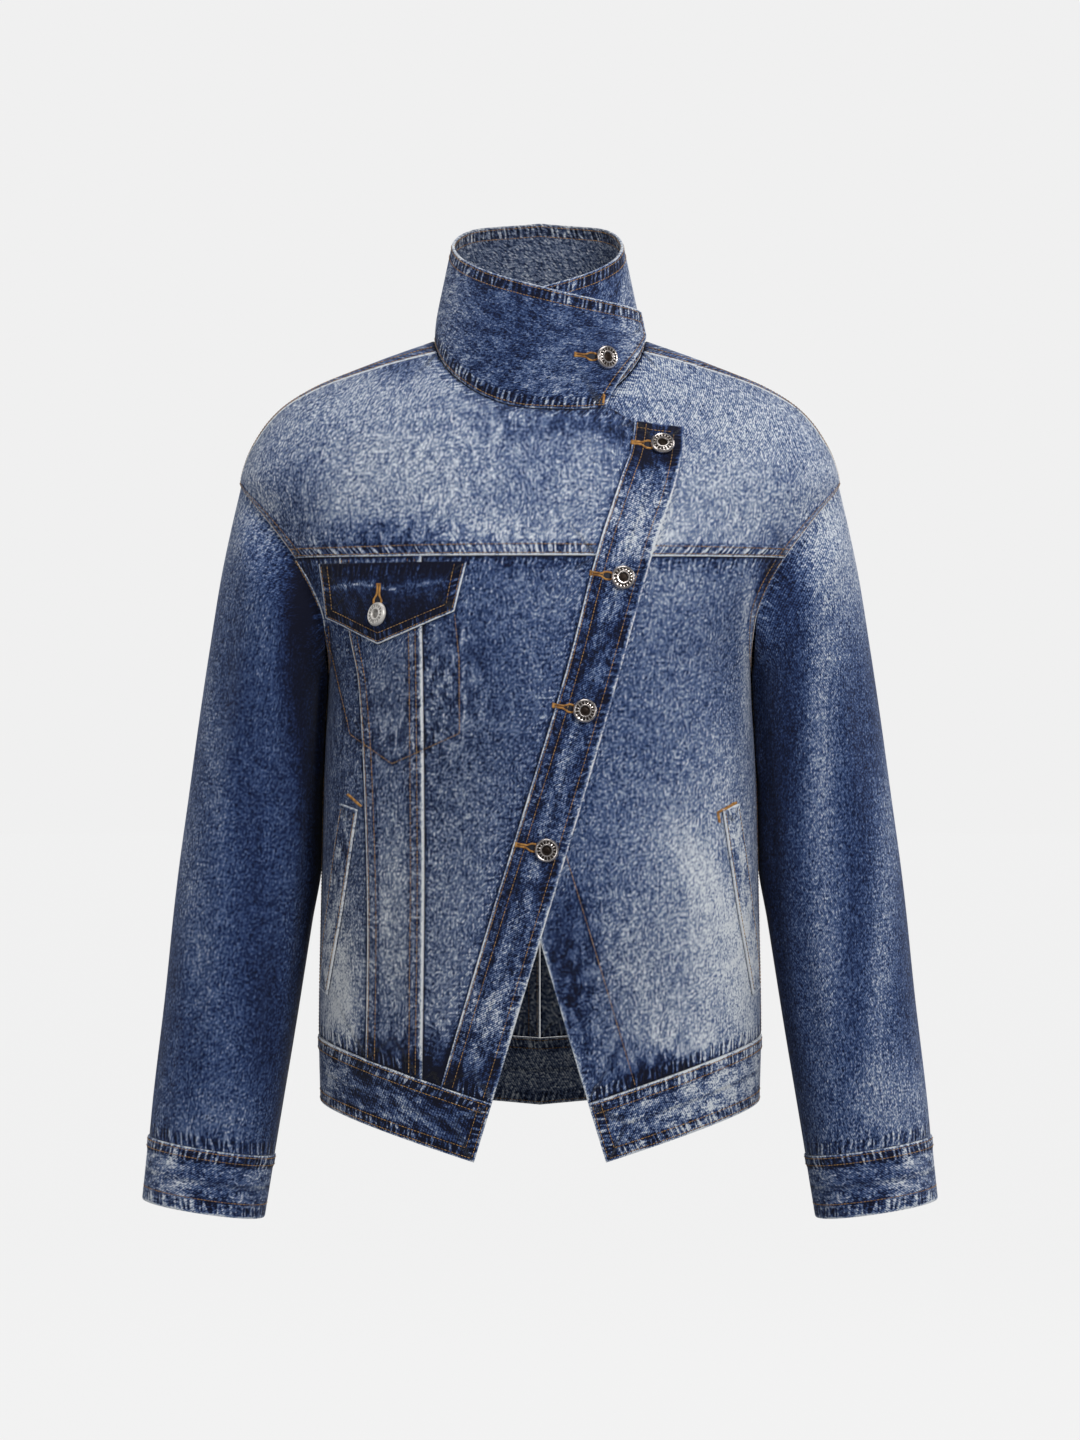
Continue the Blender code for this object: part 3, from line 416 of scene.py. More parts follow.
def body_cloth(angle, level, lift=0.0, lap=0):
    """Places and outward directions on the body."""
    angle, level = np.broadcast_arrays(np.asarray(angle, float), np.asarray(level, float))
    place = torso(angle, level)
    total = np.zeros(angle.shape) + lift
    if lap:
        total += lap * LAP_LIFT * lap_share(place[..., 0], place[..., 2])
    own_angle = np.where(angle > -180, np.abs(angle), np.abs(angle + 360))
    total -= fold_depth(BODY_FOLDS, own_angle, level)
    outward = body_normal(angle, level)
    return place + outward * total[..., None], outward


def on_front(x, z):
    """The angle and level of the front's point that is seen at x and z."""
    x, z = np.broadcast_arrays(np.asarray(x, float), np.asarray(z, float))

    def height(level):
        ring = ring_at(level)
        across = np.minimum(np.abs(x) / ring.half_width, 1.0)
        return blend(level, ring.front_z, (1 - across ** ring.dip) ** ring.roundness) - z

    level = bisect(height, HEM, NECK, x)
    ring = ring_at(level)
    across = np.minimum(np.abs(x) / ring.half_width, 1.0)
    angle = np.degrees(np.arctan2(across, np.maximum(1 - across ** ring.corner, 0) ** (1 / ring.corner)))
    return np.copysign(angle, x), level


def angle_at_depth(level, depth, front=True):
    ring = ring_at(level)
    share = np.minimum(np.abs(depth) / (ring.front_depth if front else ring.back_depth), 1.0)
    across = (1 - share ** ring.corner) ** (1 / ring.corner)
    return np.degrees(np.arctan2(across, share))


def angle_on_line(line, level, offset):
    def past(angle):
        place = torso(angle, level)
        return place[..., 0] - line(place[..., 2]) - offset

    return bisect(past, -FRONT_LIMIT, FRONT_LIMIT, level)


def armhole_depth(level, depth):
    along = np.clip((level - ARM_MIDDLE) / ARM_HALF, -1.0, 1.0)
    return depth * np.sqrt(1 - along * along) * (1 - ARM_SKEW * along)


def gap_angle(level):
    return np.degrees(SEAM_GAP / 2 / ring_at(level).front_depth)


def shoulder_seam_forward(level):
    return SHOULDER_SEAM_FORWARD * smooth_step((level - ARM_TOP) / SHOULDER_SEAM_RUN)


def side_angle(level, side_seam, hole, shoulder):
    """The angle of a side edge below, along and above the armhole."""
    return np.where(level <= ARM_BOTTOM, side_seam, np.where(level < ARM_TOP, hole, shoulder))


def front_side_angle(level):
    hole = -angle_at_depth(level, armhole_depth(level, ARM_FRONT_DEPTH)) + gap_angle(level)
    shoulder = -angle_at_depth(level, shoulder_seam_forward(level)) + 2 * gap_angle(level)
    return side_angle(level, -90.0 + gap_angle(level), hole, shoulder)


def back_side_angle(level):
    behind = angle_at_depth(level, armhole_depth(level, ARM_BACK_DEPTH), front=False)
    shoulder = -angle_at_depth(level, shoulder_seam_forward(level))
    return side_angle(level, -90.0 - gap_angle(level), -180.0 + behind - gap_angle(level), shoulder)


# ---------------------------------------------------------------- laying out a cloth piece
# place, inner: points of the outer and inner faces; outward: the way out from them; then each
# point's distance from the piece's left, right, bottom and top edge.
Cloth = namedtuple("Cloth", "place inner outward left right bottom top closed side")
# Distances of the grid lines next to a lapped edge and next to a plain one
LAPPED_LINES = np.array([0, 0.5, 1.2, 2.0, 3.0, 4.8, 6.8, 8.4, 9.3, 10.3, 11.6, 14.0])
PLAIN_LINES = np.array([0, 0.6, 1.6, 3.2, 5.6, 8.6])
GRID_STEP = 3.4
# The most of a narrow piece's width that the lines next to its edges take up
EDGE_LINES_SHARE = 0.92
FINE_STEPS = 97
SETTLING_ROUNDS = 8
SHARP_ANGLE = 50
LITTLE_MOTTLE = 0.12
CUTS = {}


def lengths(points, axis):
    """How far along its line each point of a grid is."""
    steps = np.linalg.norm(np.diff(points, axis=axis), axis=-1)
    start = np.zeros_like(np.take(steps, [0], axis=axis))
    return np.concatenate([start, np.cumsum(steps, axis=axis)], axis=axis)


def spread_lines(totals, low, high, step):
    """Distances of grid lines across a piece: close at both edges and even between."""
    need = low[-1] + high[-1]
    factor = np.minimum(1.0, EDGE_LINES_SHARE * totals / need)[:, None]
    count = max(2, math.ceil((totals.max() - need) / step))
    first, last = low[None, :] * factor, totals[:, None] - high[None, ::-1] * factor
    between = np.linspace(0, 1, count + 1)[1:-1]
    middle = first[:, -1:] + (last[:, :1] - first[:, -1:]) * between
    return np.concatenate([first, middle, last], axis=1)


def lay_out(surface, edges, step):
    """Parameters of a grid whose lines keep their distances from the piece's four edges.
    surface takes two parameters from 0 to 1 and gives places and outward directions."""
    left, right, bottom, top = (LAPPED_LINES if edge.band else PLAIN_LINES for edge in edges)
    fine = np.linspace(0, 1, FINE_STEPS)
    base = surface(*np.meshgrid(fine, fine))[0]
    across, up = lengths(base, 1), lengths(base, 0)
    cross_lines = spread_lines(across[:, -1], left, right, step)
    up_lines = spread_lines(up[-1], bottom, top, step)
    s_of = np.array([np.interp(line, across[i], fine) for i, line in enumerate(cross_lines)])
    t_of = np.array([np.interp(line, up[:, j], fine) for j, line in enumerate(up_lines)]).T
    s = np.repeat(s_of.mean(0)[None], len(t_of), 0)
    t = np.repeat(t_of.mean(1)[:, None], s_of.shape[1], 1)
    for _ in range(SETTLING_ROUNDS):
        s = np.stack([np.interp(t[:, j], fine, s_of[:, j]) for j in range(s.shape[1])], 1)
        t = np.stack([np.interp(s[i], fine, t_of[i]) for i in range(s.shape[0])], 0)
    return s, t


def edge_distances(place, closed):
    """Distance of each grid point from the left, right, bottom and top edge. A tube has
    neither of the first two."""
    across, up = lengths(place, 1), lengths(place, 0)
    far = np.full(up.shape, FAR)
    sides = (far, far) if closed else (across, across[:, -1:] - across)
    return (*sides, up, up[-1:] - up)


def seam_lift(distances, edges):
    """How far a piece's outer face rises at lapped seams, sinks at stitches and rounds off
    at its edges."""
    rise, sink = 0.0, 0.0
    for distance, edge in zip(distances, edges):
        if edge.band:
            rise = np.maximum(rise, LAP_RISE * (1 - smooth_step((distance - edge.band) / LAP_FALL)))
        for row in edge.rows:
            sink = np.maximum(sink, STITCH_SINK * np.exp(-((distance - row) / STITCH_TROUGH) ** 2))
        sink = np.maximum(sink, EDGE_DROP * np.clip(1 - distance / EDGE_ROUND, 0, 1) ** 2)
    return rise - sink


def grain(place, side, turned):
    """The cloth's own coordinates in metres: across and along the warp."""
    across, up = lengths(place, 1), lengths(place, 0)
    if turned:
        return np.stack([up, across], axis=-1) * MM
    return np.stack([(across - across[:, -1:] / 2) * side, up], axis=-1) * MM


def straight_grain(place, side):
    """Grain that hangs straight down, as a front or back is cut."""
    across = lengths(place, 1)
    middle = np.argmin(np.abs(place[0, :, 0]))
    u = across - across[:, middle:middle + 1] + place[:, middle:middle + 1, 0]
    return np.stack([u * side, place[..., 2]], axis=-1) * MM


def nearest_seam(distances, edges, place):
    """For each point: the way along its nearest seam, the distance to it, and how strongly
    the cloth is drawn in there."""
    up, across = lengths(place, 0), lengths(place, 1)
    ways = (up[:, :1], up[:, -1:], across[:1], across[-1:])
    best = np.full(place.shape[:2], FAR)
    along, pucker = np.zeros(place.shape[:2]), np.zeros(place.shape[:2])
    for distance, edge, way, start in zip(distances, edges, ways, PUCKER_STARTS):
        if edge.pucker:
            nearer = distance < best
            best, along = np.where(nearer, distance, best), np.where(nearer, way + start, along)
            pucker = np.where(nearer, edge.pucker, pucker)
    return np.stack([along * MM, np.minimum(best, SEAM_REACH) * MM, pucker], axis=-1)


def wear_and_groove_shades(distances, edges):
    """Where a fold is worn white, and the painted shade where stitches and lapped edges leave a groove."""
    wear, groove_shade = 0.0, 0.0
    for distance, edge in zip(distances, edges):
        past_top = np.maximum(distance - WORN_TOP, 0)
        wear = np.maximum(wear, edge.wear * np.exp(-(past_top / WORN_WIDTH) ** 2))
        shade_marks = [(row, GROOVE_SHADE_WIDTH, 1.0) for row in edge.rows]
        if edge.band:
            shade_marks.append((edge.band + STRIP_SHADOW_PLACE, GROOVE_SHADE_WIDTH, STRIP_SHADOW))
        if edge in TUCKED_UNDER:
            shade_marks.append((0.0, TUCK_SHADOW_WIDTH, TUCK_SHADOW))
        for place, width, depth in shade_marks:
            groove_shade = np.maximum(groove_shade, depth * np.exp(-((distance - place) / width) ** 2))
    return wear, groove_shade


def add_piece(name, mesh, material, node=None):
    """Puts a mesh in the scene as a piece of the jacket, in place of its solid if it has one."""
    piece = bpy.data.objects.new(name, mesh)
    bpy.context.scene.collection.objects.link(piece)
    mesh.materials.append(material)
    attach(piece, "root")
    if node:
        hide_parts(node)
    return piece


def shell_mesh(name, cloth, uv, values):
    """A thin shell: an outer face, an inner face, and a rim between them."""
    rows, columns = cloth.place.shape[:2]
    count = rows * columns
    points = np.concatenate([cloth.place.reshape(-1, 3), cloth.inner.reshape(-1, 3)])
    points = points * np.array([cloth.side, 1, 1]) * MM
    across, up = np.arange(columns if cloth.closed else columns - 1), np.arange(rows - 1)
    i, j = np.meshgrid(up * columns, across, indexing="ij")
    k = (j + 1) % columns
    quads = np.stack([i + j, i + k, i + columns + k, i + columns + j], -1).reshape(-1, 4)
    faces = [quads, quads[:, ::-1] + count]

    def add_rim(a, b):
        faces.append(np.stack([a, b, b + count, a + count], -1))

    onward, last, right = (across + 1) % columns, (rows - 1) * columns, columns - 1
    add_rim(onward, across)
    add_rim(last + across, last + onward)
    if not cloth.closed:
        low, high = up * columns, (up + 1) * columns
        add_rim(low, high)
        add_rim(high + right, low + right)
    faces = np.concatenate(faces)
    if cloth.side < 0:
        faces = faces[:, ::-1]
    mesh = bpy.data.meshes.new(name)
    mesh.from_pydata(points.tolist(), [], faces.tolist())
    corner = np.zeros(len(mesh.loops), dtype=np.int32)
    mesh.loops.foreach_get("vertex_index", corner)
    both = np.concatenate([uv.reshape(-1, 2)] * 2)
    mesh.uv_layers.new(name="Grain").data.foreach_set("uv", both[corner].ravel().astype(np.float32))
    for key, value in values.items():
        both = np.concatenate([value.reshape(-1, 3)] * 2)
        mesh.attributes.new(key, "FLOAT_VECTOR", "POINT").data.foreach_set(
            "vector", both.ravel().astype(np.float32))
    inside = np.repeat(np.array([0, 1], np.float32), count)
    mesh.attributes.new("inside", "FLOAT", "POINT").data.foreach_set("value", inside)
    mesh.shade_smooth()
    mesh.set_sharp_from_angle(angle=math.radians(SHARP_ANGLE))
    return mesh


def declare_sheet(piece, cloth):
    """States the flat cut of a piece, measured along its own grid."""
    place = cloth.place
    around = np.concatenate([place, place[:, :1]], 1) if cloth.closed else place
    across, up = lengths(around, 1)[:, -1], lengths(place, 0)[-1]
    a, b, c, d = around[:-1, :-1], around[:-1, 1:], around[1:, :-1], around[1:, 1:]
    halves = [np.linalg.norm(np.cross(*pair), axis=-1).sum() for pair in ((b - a, c - a), (d - c, d - b))]
    width, length = round(float(across.max())), round(float(up.max()))
    area = min(sum(halves) / 2, width * length)
    CUTS[piece.name] = (width, length, round(float(area)))


def finish_piece(node, cloth, base, edges, uv, wash, age, material, slot, held="hung", rests_on=()):
    """Makes a laid-out piece's shell, with what its denim looks up at each point: its fade and
    painted shade, its wear, the painted shade of its grooves, its nearest seam, and how it has
    aged, with painted light on its inner face."""
    distances = (cloth.left, cloth.right, cloth.bottom, cloth.top)
    values = {"wash": np.stack(np.broadcast_arrays(*wash), -1),
              "seam": nearest_seam(distances, edges, base), "age": age}
    mesh = shell_mesh(node + "_cloth", cloth, uv, values)
    declare_sheet(add_piece(node + "_cloth", mesh, material, node), cloth)
    return cloth


def sew_piece(node, surface, edges, side, thickness, material, slot, tone, step=GRID_STEP, turned=False,
              straight=False, creases=(), unsewn=None, mottle=LITTLE_MOTTLE, **laid):
    """Lays out a piece on its surface, raises its seams and makes its shell. unsewn is an edge
    with the range, from 0 to 1 along it, where another piece laps over it instead."""
    s, t = lay_out(surface, edges, step)
    base, outward = surface(s, t)
    x, z = base[..., 0] * side, base[..., 2]
    distances = edge_distances(base, False)
    sewn = list(distances)
    if unsewn:
        edge, low, high = unsewn
        sewn[edge] = np.where((t > low) & (t < high), FAR, sewn[edge])
    rise = seam_lift(sewn, edges) - crease_depth(creases, x, z)
    cloth = Cloth(base + outward * rise[..., None], base - outward * thickness, outward, *distances,
                  False, side)
    uv = straight_grain(base, side) if straight else grain(base, side, turned)
    wear, groove_shade = wear_and_groove_shades(sewn, edges)
    if side > 0 and creases is FRONT_CREASES:
        # Painted shade along the chest pocket bag's stitching, and a worn ridge beside it
        bag_shade, bag_ridge = pocket_bag_shade_and_ridge(x, z)
        groove_shade, wear = np.maximum(groove_shade, bag_shade), np.maximum(wear, bag_ridge)
    return finish_piece(node, cloth, base, edges, uv, (tone(x, z), wear, groove_shade),
                        ageing_and_inside_light(base, side, mottle), material, slot, **laid)


# ---------------------------------------------------------------- shader building
class Value:
    """A number, colour or vector that runs through a material's nodes."""

    def __init__(self, tree, socket):
        self.tree, self.socket = tree, socket

    def maths(self, operation, other=None, turned=False, clamp=False):
        pair = (other, self) if turned else (self, other)
        inputs = {i: value for i, value in enumerate(pair) if value is not None}
        return node(self.tree, "ShaderNodeMath", {"operation": operation, "use_clamp": clamp}, inputs)

    def __add__(self, other): return self.maths("ADD", other)
    def __radd__(self, other): return self.maths("ADD", other, True)
    def __sub__(self, other): return self.maths("SUBTRACT", other)
    def __rsub__(self, other): return self.maths("SUBTRACT", other, True)
    def __mul__(self, other): return self.maths("MULTIPLY", other)
    def __rmul__(self, other): return self.maths("MULTIPLY", other, True)
    def __truediv__(self, other): return self.maths("DIVIDE", other)

    def sine(self): return self.maths("SINE")
    def floor(self): return self.maths("FLOOR")
    def at_most(self, other): return self.maths("MINIMUM", other)
    def held(self): return self.maths("ADD", 0.0, clamp=True)
    def exponent(self): return self.maths("POWER", math.e, True)

    def between(self, low, high):
        """0 below low, 1 above high, soft between."""
        return node(self.tree, "ShaderNodeMapRange", {"interpolation_type": "SMOOTHSTEP", "clamp": True},
                    {"Value": self, "From Min": low, "From Max": high})


def node(tree, kind, settings, inputs, output=0):
    """Adds a node: its settings first, then the values or links of its sockets."""
    made = tree.nodes.new(kind)
    for key, value in settings.items():
        if key == "stops":
            ramp = made.color_ramp
            while len(ramp.elements) < len(value):
                ramp.elements.new(0.5)
            for element, (place, colour) in zip(ramp.elements, value):
                element.position, element.color = place, colour
        else:
            setattr(made, key, value)
    for key, value in inputs.items():
        if isinstance(value, Value):
            tree.links.new(value.socket, made.inputs[key])
        else:
            made.inputs[key].default_value = value
    return Value(tree, made.outputs[output])


def linear(red, green, blue):
    """A screen colour from 0 to 255 as a shader colour."""
    shares = [c / 255 for c in (red, green, blue)]
    return (*(((c + 0.055) / 1.055) ** 2.4 if c > 10 / 255 else c / 12.92 for c in shares), 1.0)


def vector(tree, x, y, z):
    return node(tree, "ShaderNodeCombineXYZ", {}, {"X": x, "Y": y, "Z": z})


def noise(tree, place, scale, detail=2.0, roughness=0.5):
    return node(tree, "ShaderNodeTexNoise", {},
                {"Vector": place, "Scale": scale, "Detail": detail, "Roughness": roughness})


def parts_of(tree, place):
    return [node(tree, "ShaderNodeSeparateXYZ", {}, {0: place}, i) for i in range(3)]


def attribute(tree, name, output):
    return node(tree, "ShaderNodeAttribute", {"attribute_name": name}, {}, output)


def own_place(tree):
    return node(tree, "ShaderNodeTexCoord", {}, {}, 3)


def between_colours(tree, share, low, high):
    return node(tree, "ShaderNodeMix", {"data_type": "RGBA"}, {"Factor": share, 6: low, 7: high}, 2)


def mixed(*pairs):
    """Values that swing about a half, added up by their weights."""
    parts = [(value - 0.5) * weight for value, weight in pairs]
    return sum(parts[1:], parts[0])


def new_material(name):
    material = bpy.data.materials.new(name)
    material.use_nodes = True
    tree = material.node_tree
    return material, tree, tree.nodes["Principled BSDF"]


def dress_surface(tree, shader, colour, height, strength, **settings):
    """Gives a surface its colour, a relief whose height is in metres, and plain settings."""
    tree.links.new(colour.socket, shader.inputs["Base Color"])
    bump = node(tree, "ShaderNodeBump", {}, {"Height": height, "Strength": strength, "Distance": 1.0})
    tree.links.new(bump.socket, shader.inputs["Normal"])
    for key, value in settings.items():
        shader.inputs[key.replace("_", " ")].default_value = value


INDIGO_STOPS = (
    (0.0, linear(9, 14, 37)), (0.16, linear(20, 34, 70)), (0.34, linear(42, 63, 109)),
    (0.52, linear(76, 99, 145)), (0.70, linear(122, 140, 173)), (0.86, linear(169, 179, 198)),
    (1.0, linear(229, 233, 237)),
)
GREY_STOPS = (
    (0.0, linear(12, 16, 30)), (0.16, linear(28, 36, 56)), (0.34, linear(54, 64, 84)),
    (0.52, linear(92, 101, 118)), (0.70, linear(134, 140, 151)), (0.86, linear(176, 180, 186)),
    (1.0, linear(232, 232, 230)),
)
# The twill's diagonal rib, a warp float along it, the puckers along a seam and the turns of a
# worn fold's yarn, in metres
TWILL_PITCH, FLOAT_LENGTH, PUCKER_PITCH, TWIST_PITCH = 0.0019, 0.0027, 0.0046, 0.0026
# How far a rib wanders, how far each rib's floats are shifted and wander along it, and how far
# the puckers drift, in their own pitches or in radians
RIB_WANDER, FLOAT_SHIFT, FLOAT_WANDER, PUCKER_DRIFT = 0.25, 0.37, 0.5, 15.0
# The pucker's lean, where its band ends, and how fast the pull beyond it dies away to the metre
PUCKER_LEAN, PUCKER_BAND, PULL_FADE = 0.25, (0.0078, 0.0108), 64.0
# Noise on the cloth: how often it changes to the metre each way, its layer, detail, roughness
Grain = namedtuple("Grain", "across along layer detail roughness")
SPECKLE = Grain(770.0, 490.0, 0.0, 2.0, 0.75)
SLUB = Grain(620.0, 110.0, 3.0, 3.0, 0.62)
STREAK = Grain(150.0, 20.0, 7.0, 3.0, 0.6)
CRUMPLE = Grain(135.0, 62.0, 5.0, 3.0, 0.6)
SEAM_BEAT = Grain(130.0, 30.0, 0.0, 2.0, 0.5)
SEAM_PULL = Grain(120.0, 22.0, 11.0, 2.0, 0.5)


def denim(name, contrast=1.0):
    """Indigo twill: a diagonal rib, slubby warp, faded areas, puckered, worn seams, and painted shade and
    light.
    """
    material, tree, shader = new_material(name)
    uv = node(tree, "ShaderNodeUVMap", {"uv_map": "Grain"}, {})
    u, v, _ = parts_of(tree, uv)
    # Tone from the tables, which holds painted shade in places; wear; and the painted shade of grooves
    fade, wear, groove_shade = parts_of(tree, attribute(tree, "wash", 1))
    along, away, drawn = parts_of(tree, attribute(tree, "seam", 1))
    # Greying, mottling, and the tone added to the inner face, which is painted light low down
    washed_out, mottled, inside_tone_and_painted_light = parts_of(tree, attribute(tree, "age", 1))
    inside, place = attribute(tree, "inside", 2), own_place(tree)

    def pattern(grain, x=u, y=v):
        where = vector(tree, x * grain.across, y * grain.along, grain.layer)
        return noise(tree, where, 1.0, grain.detail, grain.roughness)

    # The weave: a value of its own for each float of each rib, and noise along the yarns
    wander = noise(tree, uv, 90.0, 1.0)
    across_rib = (u - v) / TWILL_PITCH + wander * RIB_WANDER
    rib, line = (across_rib * (2 * math.pi)).sine(), across_rib.floor()
    lifted = ((u + v) / FLOAT_LENGTH + line * FLOAT_SHIFT + wander * FLOAT_WANDER).floor()
    pepper = node(tree, "ShaderNodeTexWhiteNoise", {"noise_dimensions": "2D"},
                  {"Vector": vector(tree, line, lifted, 0.0)}, 0)
    speckle, slub, streak = pattern(SPECKLE), pattern(SLUB), pattern(STREAK)
    cloud, blotch = noise(tree, place, 26.0, 3.0, 0.55), noise(tree, place, 75.0, 3.0, 0.6)
    crumple = pattern(CRUMPLE).between(0.38, 0.62)

    # The seams: short puckers within the sewn band, and longer pulls that die away beyond it
    beat, pull = pattern(SEAM_BEAT, along, away), pattern(SEAM_PULL, along, away)
    turn = (along + away * PUCKER_LEAN) * (2 * math.pi / PUCKER_PITCH) + beat * PUCKER_DRIFT
    dash = turn.sine().between(-0.3, 0.7)
    unworn = 1.0 - wear.held()
    near = drawn * (1.0 - away.between(*PUCKER_BAND)) * unworn
    beyond = drawn * unworn * (-1.0 * (away * PULL_FADE)).exponent()
    pucker_tone = near * (dash * (beat.between(0.30, 0.60) * 0.50 + 0.20) - 0.32)
    pull_tone = beyond * (pull.between(0.40, 0.60) * 0.44 - 0.30)
    twist = ((along + away) * (2 * math.pi / TWIST_PITCH)).sine() * 0.5 + 0.5

    # The tone of the outer and the inner face, from 0, dark, to 1, worn white
    tone = fade + mixed((cloud, 0.14), (blotch, 0.12), (streak, 0.20))
    tone = tone + pucker_tone + pull_tone + mottled * (crumple - 0.55) * 0.46
    fibre = mixed((slub, 0.9), (speckle, 2.0), (pepper, 0.34)) + rib * 0.15
    # The grooves' darkening is painted shade
    tone = tone + fibre * (fade * 1.1 + 0.45).at_most(contrast) - groove_shade * 0.30
    tone = tone + wear * (0.40 + twist * 0.14)
    # The inner face is paler, as the reverse of denim is, with painted light added low down and painted
    # shade in its grooves
    reverse = inside_tone_and_painted_light + 0.55 + mixed((slub, 0.7), (speckle, 1.5), (pepper, 0.5)) - rib * 0.12
    reverse = reverse - groove_shade * 0.2 + wear * 0.34 + pucker_tone * 0.8 + pull_tone * 0.5
    tone = tone * (1.0 - inside) + reverse * inside
    blue, plain = (node(tree, "ShaderNodeValToRGB", {"stops": stops}, {"Fac": tone})
                   for stops in (INDIGO_STOPS, GREY_STOPS))
    greyed = (washed_out * (1.0 - inside) + inside * 0.8).held() * 0.75

    # The relief of the weave, the puckers, the pulls and the slack cloth between
    relief = rib * 0.000014 + mixed((slub, 0.00005), (speckle, 0.00005), (streak, 0.00018), (blotch, 0.0005))
    relief = relief + near * (dash - 0.5) * 0.0007 + beyond * (pull - 0.5) * 0.0030
    dress_surface(tree, shader, between_colours(tree, greyed, blue, plain), relief, 0.9, Roughness=0.88,
                  Specular_IOR_Level=0.25, Sheen_Weight=0.12, Sheen_Roughness=0.5)
    return material


def thread(name, colour, dark):
    """Spun sewing thread, its colour shifting from stitch to stitch."""
    material, tree, shader = new_material(name)
    place = own_place(tree)
    shift, twist = noise(tree, place, 320.0), noise(tree, place, 2600.0, 1.0)
    colour = between_colours(tree, shift.between(0.32, 0.66), dark, colour)
    dress_surface(tree, shader, colour, twist * 0.0002, 0.7, Roughness=0.6)
    return material


def worn_silver(name, bright, metal, roughness):
    """Antique silver: bright where it is rubbed, dark and dull in its hollows."""
    material, tree, shader = new_material(name)
    place = own_place(tree)
    tarnish, scratches = noise(tree, place, 420.0, 3.0, 0.6), noise(tree, place, 1500.0)
    depth = attribute(tree, "hollow", 2)
    dull = (tarnish.between(0.42, 0.72) * 0.30 + depth * (0.4 + metal * 0.6)).held()
    colour = between_colours(tree, dull, bright, linear(52, 44, 40))
    dress_surface(tree, shader, colour, scratches * 0.0001, 0.4, Metallic=metal)
    tree.links.new((roughness + dull * 0.3).socket, shader.inputs["Roughness"])
    return material


BODY_DENIM = denim("faded_denim_body")
SLEEVE_DENIM = denim("faded_denim_sleeves")
BAND_DENIM = denim("folded_denim_bands", contrast=1.1)
GOLD_THREAD = thread("ochre_thread", linear(196, 152, 92), linear(112, 84, 58))
HOLE_THREAD = thread("buttonhole_thread", linear(214, 158, 84), linear(146, 98, 44))
SILVER = worn_silver("antique_silver", linear(232, 222, 216), 1.0, 0.22)
# A lit copy of the same silver, paler and less metallic, for the tilted flap button alone: painted light
SILVER_PAINTED_LIT = worn_silver("pale_antique_silver", linear(240, 235, 228), 0.3, 0.42)
# A thin dark strip in each buttonhole's slit, with the thread's shader: painted shadow
HOLE_SHADOW = thread("buttonhole_cut", linear(20, 24, 44), linear(12, 14, 30))


# ---------------------------------------------------------------- how the wash and the painted shade lie
# Faded places, dark places and places of painted shade as seen from in front: middle, reach
# across and up, how the place leans, and how much paler, or darker below zero, it is.
ToneSpot = namedtuple("ToneSpot", "x z reach_x reach_z lean amount")
# On the yoke, the darker places out by both armholes are painted shade where it turns away
YOKE_WASH_AND_SHADE = table(
    ToneSpot,
    (-114, -150, 48, 13, 0, -0.34), (-40, -60, 60, 14, 0, -0.08), (30, -62, 36, 17, 0, -0.36),
    (-198, -106, 14, 36, 0, -0.10), (-178, -130, 12, 50, 0, -0.24), (180, -120, 12, 40, 0, -0.06),
    (-6, -100, 30, 46, 0, -0.14), (50, -110, 10, 40, 0.2, -0.10), (150, -80, 20, 30, 0.4, 0.05),
    (0, -154, 34, 12, 0, 0.12), (-158, -106, 14, 40, 0, -0.12), (86, -152, 16, 18, 0, 0.18),
    (-46, -150, 18, 12, 0, 0.08), (-100, -20, 16, 12, 0, -0.30), (170, -148, 10, 12, 0, -0.20),
    (57, -76, 9, 10, 0, -0.34),
)
# The two dark places at about 166 either side, by the armholes, are painted shade between body and sleeve
FRONT_WASH_AND_SHADE = table(
    ToneSpot,
    (-50, -235, 34, 40, 0, -0.10), (10, -235, 34, 34, 0, 0.04), (-60, -400, 46, 60, 0, 0.10),
    (-108, -430, 18, 70, 0, 0.18), (-108, -260, 22, 60, 0, -0.02), (-148, -250, 12, 60, 0, -0.04),
    (-146, -482, 16, 58, 0, 0.66), (-80, -470, 16, 60, 0, 0.08), (-46, -480, 26, 56, 0.3, 0.18),
    (-114, -522, 26, 12, 0, -0.36), (-70, -538, 32, 17, 0, -0.50), (-155, -192, 10, 14, 0, 0.16),
    (80, -544, 24, 20, 0, -0.50), (112, -536, 20, 12, 0, -0.34), (121, -396, 17, 52, -0.6, 0.18),
    (128, -455, 36, 70, -0.1, 0.36), (150, -450, 12, 110, 0, 0.30),
    (64, -455, 34, 66, -0.35, 0.20),
    (104, -300, 24, 70, -0.22, 0.08), (151, -230, 6, 70, 0, 0.34), (166, -190, 8, 40, 0, -0.40),
    (22, -470, 20, 60, 0.28, -0.26),
    (92, -180, 40, 26, 0, 0.16), (88, -504, 34, 20, 0, 0.18), (126, -310, 16, 30, 0, 0.10),
    (145, -520, 16, 16, 0, 0.14), (116, -516, 16, 14, 0, 0.22), (-58, -527, 20, 20, 0, -0.55),
    (19, -422, 10, 26, 0.28, -0.20), (144, -392, 9, 34, -0.6, -0.14),
    (125, -440, 12, 50, -0.3, 0.10),
    (20, -195, 60, 24, 0, 0.06), (110, -372, 40, 42, 0, 0.20), (134, -340, 12, 50, 0, 0.14),
    (-166, -186, 9, 24, 0, -0.30), (60, -340, 20, 40, 0, 0.06), (84, -420, 40, 60, -0.3, 0.05),
    (100, -240, 50, 60, 0, 0.06), (-75, -255, 24, 40, 0, 0.08),
)
BACK_WASH = table(
    ToneSpot,
    (0, -60, 120, 50, 0, 0.30), (0, -140, 150, 36, 0, 0.16), (-60, -420, 60, 70, 0.2, 0.22),
    (70, -430, 55, 66, -0.2, 0.22), (0, -280, 60, 60, 0, 0.0), (140, -300, 24, 90, 0, -0.10),
    (-140, -300, 24, 90, 0, -0.10),
)
